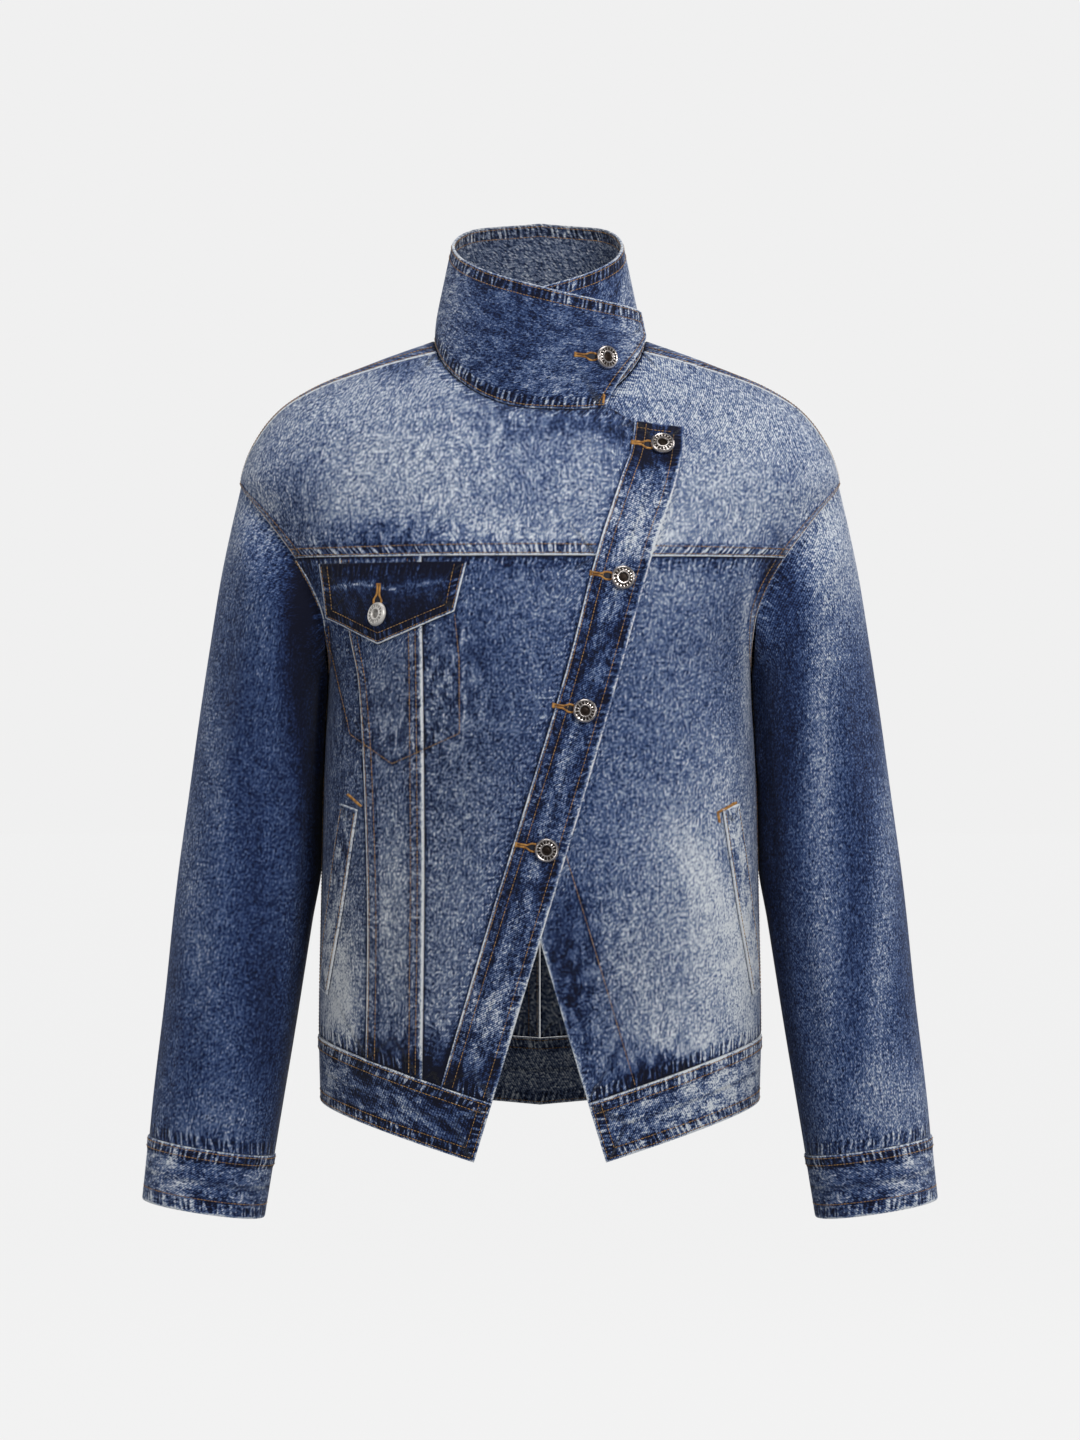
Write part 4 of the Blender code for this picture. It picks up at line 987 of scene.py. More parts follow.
# The darker places along each sleeve's inner side, next to the body, are painted shade between sleeve and
# body
SLEEVE_WASH_AND_SHADE = {
    1: table(
        ToneSpot,
        (196, -126, 46, 50, 0, 0.40), (232, -150, 12, 60, 0, 0.12),
        (172, -300, 18, 130, 0.1, -0.26), (262, -360, 14, 170, 0.14, 0.18),
        (200, -500, 16, 110, 0.1, -0.12), (245, -575, 50, 26, 0, 0.16),
        (235, -470, 22, 90, 0.1, 0.06), (172, -205, 14, 60, 0, -0.22),
        (240, -300, 12, 110, 0.12, 0.20), (168, -188, 12, 30, 0, -0.22),
        (202, -212, 24, 30, 0, 0.11), (190, -290, 12, 90, 0.08, 0.12),
    ),
    -1: table(
        ToneSpot,
        (200, -130, 60, 64, 0, 0.50), (205, -280, 13, 110, 0.02, 0.34),
        (176, -320, 13, 120, 0.08, -0.16), (210, -450, 13, 90, 0, 0.22),
        (177, -178, 14, 32, 0, -0.26), (250, -480, 10, 80, 0.1, 0.22),
        (254, -370, 10, 120, 0.1, 0.22), (262, -560, 34, 40, 0, 0.36),
        (225, -600, 60, 20, 0, 0.12), (232, -190, 16, 50, 0.1, 0.18),
    ),
}
# Places of the front whose blue has washed out to grey, listed in the same way
GREY_WASH = table(
    ToneSpot,
    (-110, -440, 70, 110, 0, 0.75), (-100, -260, 60, 60, 0, 0.45), (-190, -150, 40, 60, 0, 0.4),
    (-60, -330, 60, 60, 0, 0.3), (60, -460, 50, 60, 0, 0.4), (-110, -100, 60, 40, 0, 0.2),
)
# Places of the front where the cloth was creased while it was washed, listed in the same way
MOTTLE_WASH = table(
    ToneSpot,
    (20, -482, 24, 56, 0.28, 1.0), (-95, -522, 60, 26, 0, 0.9), (92, -532, 50, 24, 0, 0.9),
    (-100, -152, 70, 16, 0, 0.7), (-62, -250, 22, 46, 0, 0.8), (-105, -292, 50, 26, 0, 0.8),
    (-148, -400, 20, 90, 0, 0.6), (20, -62, 70, 14, 0, 0.6), (146, -400, 22, 80, 0, 0.4),
    (-20, -100, 60, 40, 0, 0.3), (-190, -150, 24, 40, 0, 0.4),
)
# The middle of the collar, paler than what is round it
COLLAR_WASH = (ToneSpot(0, -30, 30, 14, 0, 0.10),)

# Tones that change past a place: over what run, below zero where they change downwards or
# towards the wearer's right, and by how much. Then tones that come and go evenly.
Change = namedtuple("Change", "start run amount")
Wave = namedtuple("Wave", "length amount")
WAIST_CHANGES = (Change(-130, -20, 0.16), Change(80, 28, 0.36), Change(-10, 60, 0.10))
WAIST_WAVES = (Wave(31.0, 0.05), Wave(9.0, 0.06))
CUFF_CHANGES, CUFF_WAVES = (Change(230, 50, 0.16),), (Wave(9.0, 0.05),)
LEFT_CUFF_PALER = 0.38
COLLAR_SIDES, COLLAR_LEFT_END = (Change(46, 26, 0.16),), (Change(54, 10, 0.16),)
COLLAR_WAVES = (Wave(13.0, 0.05),)
BAND_CHANGES = (Change(-104, 12, -0.34), Change(-280, -60, 0.12))
# On the inner face: paler low down, which is painted light on the inner back seen between the fronts, and a
# little darker above the neck
INSIDE_TONE_AND_PAINTED_LIGHT = (Change(-380, -60, 0.12), Change(0, 10, -0.05))
# Stretches of the diagonal band and of the chest flap, by height
Stretch = namedtuple("Stretch", "z reach amount")
BAND_STRETCHES = table(
    Stretch,
    (-489, 20, 0.14), (-532, 15, -0.26), (-395, 25, -0.13), (-140, 34, 0.46),
)
FLAP_STRETCHES = (Stretch(-186, 7, 0.12),)
BAND_STREAK_HALF, BAND_STREAK = 7.0, 0.14
BAND_STREAK_WAVES = (Wave(17.0, 0.08),)
# Pale whiskers across the upper part of the flap
Whisker = namedtuple("Whisker", "x z reach lean")
WHISKERS = (Whisker(-140, -184, 20, 0.10), Whisker(-112, -186, 22, -0.16), Whisker(-82, -183, 14, 0.12))
WHISKER_HALF, WHISKER_TONE = 1.5, 0.42

# The chest pocket's bag, sewn through from behind, as seen from in front. Its last three
# points are its inner side, with a worn ridge outside it.
POCKET_BAG = ((-153.4, -212.0), (-152.3, -230.0), (-145.1, -259.0), (-139.3, -281.0), (-137.2, -290.6),
              (-105.9, -311.8), (-57.2, -290.0), (-57.6, -237.0), (-60.8, -205.0))
# How wide the painted shade along the bag's stitching is
BAG_GROOVE_SHADE_WIDTH = 1.6
Ridge = namedtuple("Ridge", "beside half z reach wear")
BAG_RIDGE = Ridge(3.4, 1.3, -245, 36, 0.7)


def tone_from_spots(table, base, x, z):
    tone = np.full(np.shape(x), float(base))
    for wash in table:
        across = (x - wash.x - wash.lean * (z - wash.z)) / wash.reach_x
        tone += wash.amount * np.exp(-across ** 2 - ((z - wash.z) / wash.reach_z) ** 2)
    return tone


def changed(table, x): return sum(row.amount * smooth_step((x - row.start) / row.run) for row in table)
def waved(table, x): return sum(row.amount * np.sin(x / row.length) for row in table)
def stretched(table, z): return sum(row.amount * np.exp(-((z - row.z) / row.reach) ** 2) for row in table)


def ageing_and_inside_light(base, side, mottle):
    """How grey and how mottled the cloth has become, and the tone added to its inner face, which is
    painted light low down. The tables are for the front alone."""
    x, y, z = base[..., 0] * side, base[..., 1], base[..., 2]
    front = smooth_step(0.5 - y / 40)
    grey, mottled = front * tone_from_spots(GREY_WASH, 0.0, x, z), mottle + front * tone_from_spots(MOTTLE_WASH, 0.0, x, z)
    return np.stack([grey, np.minimum(mottled, 1.0), changed(INSIDE_TONE_AND_PAINTED_LIGHT, z)], -1)


def pocket_bag_shade_and_ridge(x, z):
    """Painted shade along the pocket bag's stitching, and a worn ridge outside its inner side."""
    nearest = np.full(x.shape, FAR)
    for (x0, z0), (x1, z1) in zip(POCKET_BAG, POCKET_BAG[1:]):
        share = ((x - x0) * (x1 - x0) + (z - z0) * (z1 - z0)) / ((x1 - x0) ** 2 + (z1 - z0) ** 2)
        share = np.clip(share, 0, 1)
        nearest = np.minimum(nearest, np.hypot(x - x0 - share * (x1 - x0), z - z0 - share * (z1 - z0)))
    side_x = np.interp(z, *zip(*((bag_z, bag_x) for bag_x, bag_z in POCKET_BAG[-3:])))
    across = (x - side_x - BAG_RIDGE.beside) / BAG_RIDGE.half
    ridge = BAG_RIDGE.wear * np.exp(-across ** 2 - ((z - BAG_RIDGE.z) / BAG_RIDGE.reach) ** 6)
    return np.exp(-(nearest / BAG_GROOVE_SHADE_WIDTH) ** 2), ridge


def yoke_tone(x, z): return tone_from_spots(YOKE_WASH_AND_SHADE, 0.74, x, z)
def front_tone(x, z): return tone_from_spots(FRONT_WASH_AND_SHADE, 0.44, x, z)
def strip_tone(x, z): return front_tone(x, z) + 0.03
def welt_tone(x, z): return front_tone(x, z) + 0.08
def back_tone(x, z): return tone_from_spots(BACK_WASH, 0.44, x, z)
def sleeve_tone(x, z, side): return tone_from_spots(SLEEVE_WASH_AND_SHADE[side], 0.30, np.abs(x), z)
def waist_tone(x, z): return 0.38 + changed(WAIST_CHANGES, x) + waved(WAIST_WAVES, x)


def cuff_tone(x, z):
    return 0.46 + changed(CUFF_CHANGES, np.abs(x)) + LEFT_CUFF_PALER * (x > 0) + waved(CUFF_WAVES, x)


def flap_tone(x, z):
    """Dark, with pale whiskers across its upper part."""
    tone = 0.06 + stretched(FLAP_STRETCHES, z)
    for row in WHISKERS:
        line = (z - row.z - row.lean * (x - row.x)) / WHISKER_HALF
        tone = tone + WHISKER_TONE * np.exp(-line ** 2 - ((x - row.x) / row.reach) ** 2)
    return tone


def band_tone(x, z):
    """The band is palest along its middle, above the second button and low down."""
    across = (x - (band_seam(z) + front_edge(z)) / 2) / BAND_STREAK_HALF
    streak = np.exp(-across ** 2) * (BAND_STREAK + waved(BAND_STREAK_WAVES, z))
    return 0.26 + streak + stretched(BAND_STRETCHES, z) + changed(BAND_CHANGES, z)


def collar_tone(x, z):
    """Paler at the two ends and round the sides than in the middle."""
    sides = changed(COLLAR_SIDES, np.abs(x)) + changed(COLLAR_LEFT_END, x)
    return tone_from_spots(COLLAR_WASH, 0.37, x, z) + sides + waved(COLLAR_WAVES, x)


# ---------------------------------------------------------------- body panels
GAP = SEAM_GAP / 2
LEVELS = np.linspace(HEM, NECK, 400)
FINE_STEP, SMALL_PIECE_STEP = 3.0, 2.0


def line_angle(line, offset):
    """The angle at which each level crosses a seam line, as a function of level."""
    angles = angle_on_line(line, LEVELS, offset)
    return lambda level: np.interp(level, LEVELS, angles)


EDGE_ANGLE = line_angle(front_edge, 0.0)


def lower_surface(left_of, right_of, lift=0.0, lap=1):
    """A piece between the waist seam and the yoke seam. Where its left edge turns in along
    the armhole, only the cloth near it follows."""
    start = float(left_of(np.array(WAIST_SEAM + GAP)))

    def surface(s, t):
        level = blend(WAIST_SEAM + GAP, YOKE_SEAM - GAP, t)
        angle = blend(start, right_of(level), s) + (left_of(level) - start) * (1 - s) ** 2
        return body_cloth(angle, level, lift, lap)

    return surface


def yoke_surface(side, lap, end_line):
    """A yoke as a patch between its side, the neck, its front end and the yoke seam."""
    knots = np.array(NECK_KNOTS[side])
    neckline = NECKLINES[side]
    columns = OWN_NECK_KNOTS + len(knots) - 1
    own_neck = OWN_NECK_KNOTS / columns
    top_end = np.stack(on_front(end_line(neckline(knots[-1])) - GAP, neckline(knots[-1])))

    def side_edge(t):
        level = blend(YOKE_SEAM + GAP, NECK - GAP, t)
        return np.stack([front_side_angle(level), level], -1)

    def end_edge(t):
        z = blend(YOKE_SEAM + GAP, neckline(knots[-1]), t)
        return np.stack(on_front(end_line(z) - GAP, z), -1)

    neck_side = side_edge(np.array(1.0))

    def top_edge(s):
        angle = blend(neck_side[0], 0.0, np.clip(s / own_neck, 0, 1))
        x = np.interp(s * columns - OWN_NECK_KNOTS, np.arange(len(knots)), knots)
        past = np.stack(on_front(x, neckline(x) - GAP), -1)
        past = blend(past, top_end, smooth_step((s * columns - columns + 1))[..., None])
        own = np.stack([angle, np.full_like(angle, NECK - GAP)], -1)
        return np.where((s < own_neck)[..., None], own, past)

    low_left, low_right = side_edge(np.array(0.0)), end_edge(np.array(0.0))
    high_left, high_right = top_edge(np.array([0.0]))[0], top_edge(np.array([1.0]))[0]

    def surface(s, t):
        a, b = s[..., None], t[..., None]
        bottom = blend(low_left, low_right, a)
        corners = blend(bottom, blend(high_left, high_right, a), b)
        pair = blend(side_edge(t), end_edge(t), a) + blend(bottom, top_edge(s), b) - corners
        return body_cloth(pair[..., 0], np.clip(pair[..., 1], HEM, NECK), 0.0, lap)

    return surface


def placket_surface():
    """The diagonal band, from the waist seam to its top end. Its first stretch ends at the
    yoke seam, where its rows begin to follow the band's own slope."""
    inner_of, outer_of = line_angle(band_seam, GAP), EDGE_ANGLE
    inner_top, outer_top = float(NECKLINES[1](NECK_KNOTS[1][-1])), RIGHT_NECKLINE[-1].z
    share_below = (YOKE_SEAM - WAIST_SEAM) / (outer_top - WAIST_SEAM)

    def surface(s, t):
        low = np.clip(t / share_below, 0, 1)
        high = np.clip((t - share_below) / (1 - share_below), 0, 1)
        level = blend(WAIST_SEAM + GAP, YOKE_SEAM, low)
        inner_z, outer_z = blend(YOKE_SEAM, inner_top, high), blend(YOKE_SEAM, outer_top, high)
        below = np.stack([blend(inner_of(level), outer_of(level), s), level], -1)
        inner = np.stack(on_front(band_seam(inner_z) + GAP, inner_z), -1)
        outer = np.stack(on_front(front_edge(outer_z), outer_z), -1)
        above = blend(inner, outer, s[..., None])
        pair = np.where((t < share_below)[..., None], below, above)
        return body_cloth(pair[..., 0], pair[..., 1], BAND_LIFT, 1)

    return surface


def back_surface(s, t):
    """Half of the back, from the waist seam to the neck and over to the shoulder seam."""
    level = blend(WAIST_SEAM + GAP, NECK - GAP, t)
    centre = -180.0 + float(gap_angle(np.array(WAIST_SEAM)))
    side_seam = -90.0 - float(gap_angle(np.array(WAIST_SEAM)))
    angle = blend(centre, side_seam, s) + (back_side_angle(level) - side_seam) * s ** 2
    return body_cloth(angle, level)


def waistband_surface(s, t):
    level = blend(HEM, WAIST_SEAM - GAP, t)
    end = EDGE_ANGLE(level)
    angle = blend(-360.0 - end, end, s)
    own = angle > -180
    own_angle = np.where(own, angle, -360.0 - angle)
    (right, _), (left, _), (plain, outward) = (
        body_cloth(own_angle, level, WAISTBAND_LIFT, lap) for lap in (1, -1, 0))
    front = (own_angle > -90)[..., None]
    place = np.where(front, np.where(own[..., None], right, left), plain)
    mirror = np.where(own, 1, -1)[..., None] * np.array([1, 0, 0]) + np.array([0, 1, 1])
    return place * mirror, outward * mirror


def flap_surface(s, t):
    left, tip, right = FLAP_BOTTOM
    x = np.where(s < 0.5, blend(left.x, tip.x, s * 2), blend(tip.x, right.x, s * 2 - 1))
    bottom_z = np.where(s < 0.5, blend(left.z, tip.z, s * 2), blend(tip.z, right.z, s * 2 - 1))
    top_x = blend(FLAP_TOP_LEFT_X, FLAP_TOP_RIGHT_X, (x - left.x) / (right.x - left.x))
    angle, level = on_front(blend(x, top_x, t), blend(bottom_z, FLAP_TOP_Z, t))
    return body_cloth(angle, level, FLAP_LIFT, 1)


def welt_surface(s, t):
    heights = [row.z for row in WELT_ROWS[::-1]]
    z = blend(heights[0], heights[-1], t)
    outer = smooth_curve(heights, [row.outer_x for row in WELT_ROWS[::-1]])(z)
    inner = smooth_curve(heights, [row.inner_x for row in WELT_ROWS[::-1]])(z)
    angle, level = on_front(blend(outer, inner, s), z + WELT_DROP * (1 - s))
    return body_cloth(angle, level, WELT_LIFT)


# ---------------------------------------------------------------- collar
def collar_cone(angle, z):
    foot, top = ring_at(np.full(np.shape(angle), NECK)), COLLAR_TOP
    foot_z = ring_point(foot, NECK, angle)[..., 2]
    top_z = ring_point(top, top.level, angle)[..., 2]
    rise = np.clip((z - foot_z) / (top_z - foot_z), 0.0, COLLAR_OVERRUN)
    place = ring_point(Ring(*(blend(a, b, rise) for a, b in zip(foot, top))), 0.0, angle)
    return np.stack([place[..., 0], place[..., 1], z + 0 * angle], -1)


def collar_normal(angle, z):
    return surface_normal(collar_cone, angle, z)


def collar_half(end, along, up):
    foot_angle = blend(-180.0, end.foot_angle, along)
    x = end.neck_x * np.maximum(foot_angle, 0) / end.foot_angle
    past_angle, past_level = on_front(x, NECKLINES[end.side](x))
    past = foot_angle > 0
    neck_angle, level = np.where(past, past_angle, foot_angle), np.where(past, past_level, NECK)
    lapped, plain = body_cloth(neck_angle, level, 0.0, end.side)[0], body_cloth(neck_angle, level)[0]
    seam = np.where((neck_angle > -90)[..., None], lapped, plain)
    seam = seam + np.array([0, 0, SEAM_GAP])
    sweep = smooth_step((along - COLLAR_SWEEP_START) / (1 - COLLAR_SWEEP_START))
    sweep = sweep * np.minimum(up / COLLAR_CORNER, 1.0) ** COLLAR_SWEEP_POWER
    angle = foot_angle + (end.tip_angle - end.foot_angle) * sweep
    z = blend(seam[..., 2], collar_edge(angle), up)
    lift = (end.lift * smooth_step((foot_angle - COLLAR_LIFT_START) / COLLAR_LIFT_RUN))[..., None]
    miss = seam - collar_cone(foot_angle, seam[..., 2]) - collar_normal(foot_angle, seam[..., 2]) * lift
    share = (np.maximum(1 - up / COLLAR_FLARE, 0.0) ** 2)[..., None]
    return collar_cone(angle, z) + collar_normal(angle, z) * lift + miss * share


def collar_surface(s, t):
    """One band round the neck, from the left end round the back to the right end."""
    along = np.abs(2 * s - 1)
    right = collar_half(COLLAR_ENDS[1], along, t)
    left = collar_half(COLLAR_ENDS[-1], along, t) * np.array([-1, 1, 1])
    place = np.where((s > 0.5)[..., None], right, left)
    return place, grid_normals(place, False)


def grid_normals(place, closed):
    before = np.roll(place, 1, axis=1) if closed else np.concatenate([place[:, :1], place[:, :-1]], 1)
    after = np.roll(place, -1, axis=1) if closed else np.concatenate([place[:, 1:], place[:, -1:]], 1)
    below = np.concatenate([place[:1], place[:-1]], 0)
    above = np.concatenate([place[1:], place[-1:]], 0)
    return unit(np.cross(after - before, above - below))


# ---------------------------------------------------------------- sleeves and cuffs
def armhole_cloth(angle, inset):
    sine, cosine = math.sin(math.radians(angle)), math.cos(math.radians(angle))
    front = sine >= 0
    level = np.array(ARM_MIDDLE + (ARM_HALF - inset) * cosine)
    depth = ((ARM_FRONT_DEPTH if front else ARM_BACK_DEPTH) - inset) * abs(sine) * (1 - ARM_SKEW * cosine)
    from_centre = angle_at_depth(level, depth, front)
    return body_cloth(-from_centre if front else -180.0 + from_centre, level)


def section_point(section, angle, lift=0.0):
    sine, cosine = math.sin(math.radians(angle)), math.cos(math.radians(angle))
    reach = (abs(sine) ** SLEEVE_CORNER + abs(cosine) ** SLEEVE_CORNER) ** (-1 / SLEEVE_CORNER)
    inner = np.array([-section.inner_x, section.middle_y, section.inner_z])
    outer = np.array([-section.outer_x, section.middle_y, section.outer_z])
    middle, half = (inner + outer) / 2, (outer - inner) / 2
    across = half + unit(half) * lift
    return middle + across * cosine * reach - np.array([0, section.half_depth + lift, 0]) * sine * reach


def smooth_path(points, shares):
    along = lengths(points, 0)
    return np.stack([smooth_curve(along, points[:, axis])(shares * along[-1]) for axis in range(3)], -1)


def front_catcher(names):
    """Catches places seen from in front on the faces of some pieces."""
    points, faces = [], []
    for name in names:
        mesh = bpy.data.objects[name + "_cloth"].data
        start = len(points)
        points += [vertex.co.copy() for vertex in mesh.vertices]
        faces += [tuple(start + i for i in face.vertices) for face in mesh.polygons]
    return BVHTree.FromPolygons(points, faces)


SIDES = {1: "right", -1: "left"}
TUBE_ANGLES = np.arange(128) * 360.0 / 128
# Where a sleeve is moved in to the body: how far below and above the armhole's bottom, and how
# far from the middle. Then the clearance it keeps, how far off the body it may be before it is
# moved less and over what width, and the heights over which the move sets in and ends.
BELOW_ARM, ABOVE_ARM, INNER_SIDE = 90.0, 12.0, 175.0
SLEEVE_CLEARANCE, NEAR_BODY, NEAR_RUN = 0.9, 3.5, 4.0
MOVE_START, MOVE_END = 24.0, 14.0
SLEEVE_SHARES = np.concatenate([
    [0.0, 0.0012, 0.003, 0.006, 0.010, 0.015], np.linspace(0.021, 0.982, 150),
    [0.9865, 0.991, 0.9945, 0.9975, 1.0]])
FOLD_SPREAD = 0.8
SLEEVE_ROUND_LENGTH, CUFF_ROUND_LENGTH = 380.0, 250.0
# How wide the dark line of painted shade along the seam under the arm is
UNDER_ARM_SHADE_WIDTH = 0.9
CUFF_SINK = 0.25
CUFF_HEIGHTS = np.array([
    0, 0.5, 1.2, 2.2, 4, 6.5, 9.2, 10.4, 11.5, 14, 17.5, 21, 24.5, 28, 31.5, 34.5, 36.5, 38.2, 39.5, 41,
    42.5, 44, 45.4, 46.4, 47.0])


def close_the_gap(base, side):
    """Moves a sleeve's inner side in to where it all but touches the body below the armhole."""
    body = front_catcher(["front_right_side" if side > 0 else "front_left", "back_" + SIDES[side]])
    mirror, height = np.array([side, 1, 1]), base[..., 2] - ARM_BOTTOM
    moved = base.copy()
    near_body = (height > -BELOW_ARM) & (height < ABOVE_ARM) & (np.abs(base[..., 0]) < INNER_SIDE)
    for i, j in zip(*np.nonzero(near_body)):
        point = Vector(base[i, j] * mirror * MM)
        near, _, _, distance = body.find_nearest(point, 8 * MM)
        if near is None or distance < 1e-6:
            continue
        room = distance / MM - SLEEVE_CLEARANCE
        if room > 0:
            fade = 1 - float(smooth_step((distance / MM - NEAR_BODY) / NEAR_RUN))
            fade *= float(smooth_step((ABOVE_ARM - height[i, j]) / MOVE_END))
            fade *= float(smooth_step((height[i, j] + BELOW_ARM) / MOVE_START))
            moved[i, j] += np.array((near - point).normalized() * room * fade) * mirror
    return moved


def finish_tube(node, side, base, outward, distances, edges, sink, thickness, uv, shade_marks, mottle, tone,
                **looks):
    """Makes a sleeve or cuff from its rows. It has aged evenly, and its marks are painted shade along its
    own grooves.
    """
    rise = seam_lift(distances, edges) - sink
    cloth = Cloth(base + outward * rise[..., None], base - outward * thickness, outward, *distances,
                  True, side)
    wear, groove_shade = wear_and_groove_shades(distances, edges)
    fade = tone(base[..., 0], base[..., 2])
    age = np.broadcast_to([0.0, mottle, 0.0], base.shape)
    return finish_piece(node, cloth, base, edges, uv, (fade, wear, np.maximum(groove_shade, shade_marks)), age, **looks)


def make_sleeve(side):
    """A sleeve from its armhole to the cuff seam, one tube with a seam under the arm."""
    paths, seam_normals, unders = [], [], []
    for angle in TUBE_ANGLES:
        under = float(smooth_step(-math.cos(math.radians(angle)) * UNDER_ARM_TURN))
        seam, outward = armhole_cloth(angle, SEAM_GAP)
        start = seam + outward * UNDER_ARM_LIFT * under
        sections = np.array([section_point(section, angle) for section in SLEEVE_SECTIONS])
        onward = armhole_cloth(angle, SLEEVE_RUN_ON)[0]
        down = start + unit(sections[0] - start) * SLEEVE_RUN_ON
        path = smooth_path(np.concatenate([[blend(onward, down, under)], sections]), SLEEVE_SHARES)
        paths.append(np.concatenate([[start], path]))
        seam_normals.append(outward)
        unders.append(under)
    base = np.stack(paths, 1)
    shares = np.concatenate([[0.0], SLEEVE_SHARES])
    depth = fold_depth(SLEEVE_FOLDS, TUBE_ANGLES[None, :], shares[:, None] ** FOLD_SPREAD)
    base = base + unit(base.mean(1, keepdims=True) - base) * depth[..., None]
    base = base[::-1].copy()
    outward = grid_normals(base, True)
    outward[-1] = unit(blend(np.array(seam_normals), outward[-1], np.array(unders)[:, None]))
    distances = edge_distances(base, True)
    round_length = np.broadcast_to(TUBE_ANGLES / 360.0 * SLEEVE_ROUND_LENGTH, base.shape[:2])
    uv = np.stack([round_length * side, distances[2]], -1) * MM
    return finish_tube(
        "sleeve_" + SIDES[side], side, close_the_gap(base, side), outward, distances,
        (SMOOTH, SMOOTH, SLEEVE_END, ARMHOLE_SEAM), 0.0, CLOTH, uv,
        # Painted shade along the seam under the arm
        np.exp(-((TUBE_ANGLES - 180.0) / UNDER_ARM_SHADE_WIDTH) ** 2), LITTLE_MOTTLE,
        tone=lambda x, z: sleeve_tone(x, z, side) + 0.025 * np.sin(np.radians(TUBE_ANGLES * 3 + 40)),
        material=SLEEVE_DENIM, slot="denim_blue", rests_on=("back_" + SIDES[side] + "_cloth",))


def make_cuff(side):
    """A cuff, a straight folded band round the sleeve's end."""
    top, bottom = CUFF_SECTIONS
    base = []
    for share in CUFF_HEIGHTS / CUFF_HEIGHTS[-1]:
        section = Section(*(blend(a, b, share) for a, b in zip(bottom, top)))
        base.append([section_point(section, angle, CUFF_LIFT) for angle in TUBE_ANGLES])
    base = np.array(base)
    distances = edge_distances(base, True)
    round_length = np.broadcast_to(TUBE_ANGLES / 360.0 * CUFF_ROUND_LENGTH, base.shape[:2])
    uv = np.stack([distances[2], round_length], -1) * MM
    return finish_tube(
        "cuff_" + SIDES[side], side, base, grid_normals(base, True), distances,
        (SMOOTH, SMOOTH, CUFF_RIM, CUFF_SEAM), CUFF_SINK, CLOTH + 2 * CUFF_LIFT, uv, 0.0, 0.8,
        tone=cuff_tone, material=BAND_DENIM, slot="denim_dark",
        rests_on=("sleeve_" + SIDES[side] + "_cloth",))


# ---------------------------------------------------------------- topstitching
# Length of a stitch with the gap after it, the stitch's share of that, and its thread's
# radius and height; then how close a row may come to an edge that it isn't sewn along
STITCH, STITCH_SHARE, THREAD, THREAD_RISE = 2.5, 0.80, 0.32, 0.16
EDGE_ROOM = 0.8
# A stitch from end to end: shares of its length, heights as shares of its rise with its two
# ends sunk in the cloth, and widths as shares of its radius
STITCH_ALONG = np.array([0.0, 0.18, 0.82, 1.0])
STITCH_WIDTHS = np.array([0.5, 1.0, 1.0, 0.5])
STITCH_END_DEPTH = 0.10
STITCH_CORNERS = 5
RUNS = {}


def row_line(cloth, which, distance, keep):
    """Points and normals of a sewing line at a distance from one edge of a piece. keep says
    how far from its other edges it stays, and between which heights."""
    fields = {"left": cloth.left, "right": cloth.right, "bottom": cloth.bottom, "top": cloth.top}
    across = which in ("left", "right")
    grid = np.concatenate([cloth.place, cloth.outward] + [fields[k][..., None] for k in fields], -1)
    ruler = fields[which]
    if not across:
        grid, ruler = grid.transpose(1, 0, 2), ruler.T
    if which in ("right", "top"):
        grid, ruler = grid[:, ::-1], ruler[:, ::-1]
    line = np.array([[np.interp(distance, ruler[i], grid[i, :, k]) for k in range(grid.shape[2])]
                     for i in range(len(grid))])
    if cloth.closed and not across:
        line = np.concatenate([line, line[:1]])
    good = (line[:, 2] > keep.get("above", -FAR)) & (line[:, 2] < keep.get("below", FAR))
    for column, key in enumerate(fields):
        if key != which and not (cloth.closed and key in ("left", "right")):
            good &= line[:, 6 + column] >= keep.get(key, EDGE_ROOM)
    mirror = np.array([cloth.side, 1, 1])
    return line[good, :3] * mirror, line[good, 3:6] * mirror


def sew(group, cloth, which, *distances, **keep):
    """Adds rows of topstitching beside an edge."""
    for distance in distances:
        points, normals = row_line(cloth, which, distance, keep)
        if len(points) > 1:
            RUNS.setdefault(group, []).append((points, normals))


def sew_inside(group, cloth, which, *distances, **keep):
    """Adds rows that show on the inner face of a piece."""
    sew(group, cloth._replace(place=cloth.inner, outward=-cloth.outward), which, *distances, **keep)


def thread_mesh(name, starts, ends, normals, radius, rise, material):
    """One small round stitch between each pair of points, all in one mesh."""
    beside = unit(np.cross(normals, unit(ends - starts)))
    heights = np.array([-STITCH_END_DEPTH, rise, rise, -STITCH_END_DEPTH])
    turn = np.radians(np.arange(STITCH_CORNERS) * 360.0 / STITCH_CORNERS)
    centre = (starts[:, None] + (ends - starts)[:, None] * STITCH_ALONG[:, None]
              + normals[:, None] * heights[:, None])
    ring = (beside[:, None, None] * np.cos(turn)[None, None, :, None]
            + normals[:, None, None] * np.sin(turn)[None, None, :, None])
    points = centre[:, :, None] + ring * (STITCH_WIDTHS * radius)[None, :, None, None]
    rings = np.arange(4 * STITCH_CORNERS).reshape(4, STITCH_CORNERS)
    onward = np.roll(rings, -1, axis=1)
    quads = np.stack([rings[:-1], onward[:-1], onward[1:], rings[1:]], -1).reshape(-1, 4)
    caps = np.stack([rings[0, ::-1], rings[-1]])
    offsets = np.arange(len(starts))[:, None, None] * rings.size
    quads, caps = ((faces[None] + offsets)[..., ::-1].reshape(-1, faces.shape[1]).tolist()
                   for faces in (quads, caps))
    mesh = bpy.data.meshes.new(name)
    mesh.from_pydata((points.reshape(-1, 3) * MM).tolist(), [], quads + caps)
    mesh.shade_smooth()
    add_piece(name, mesh, material)


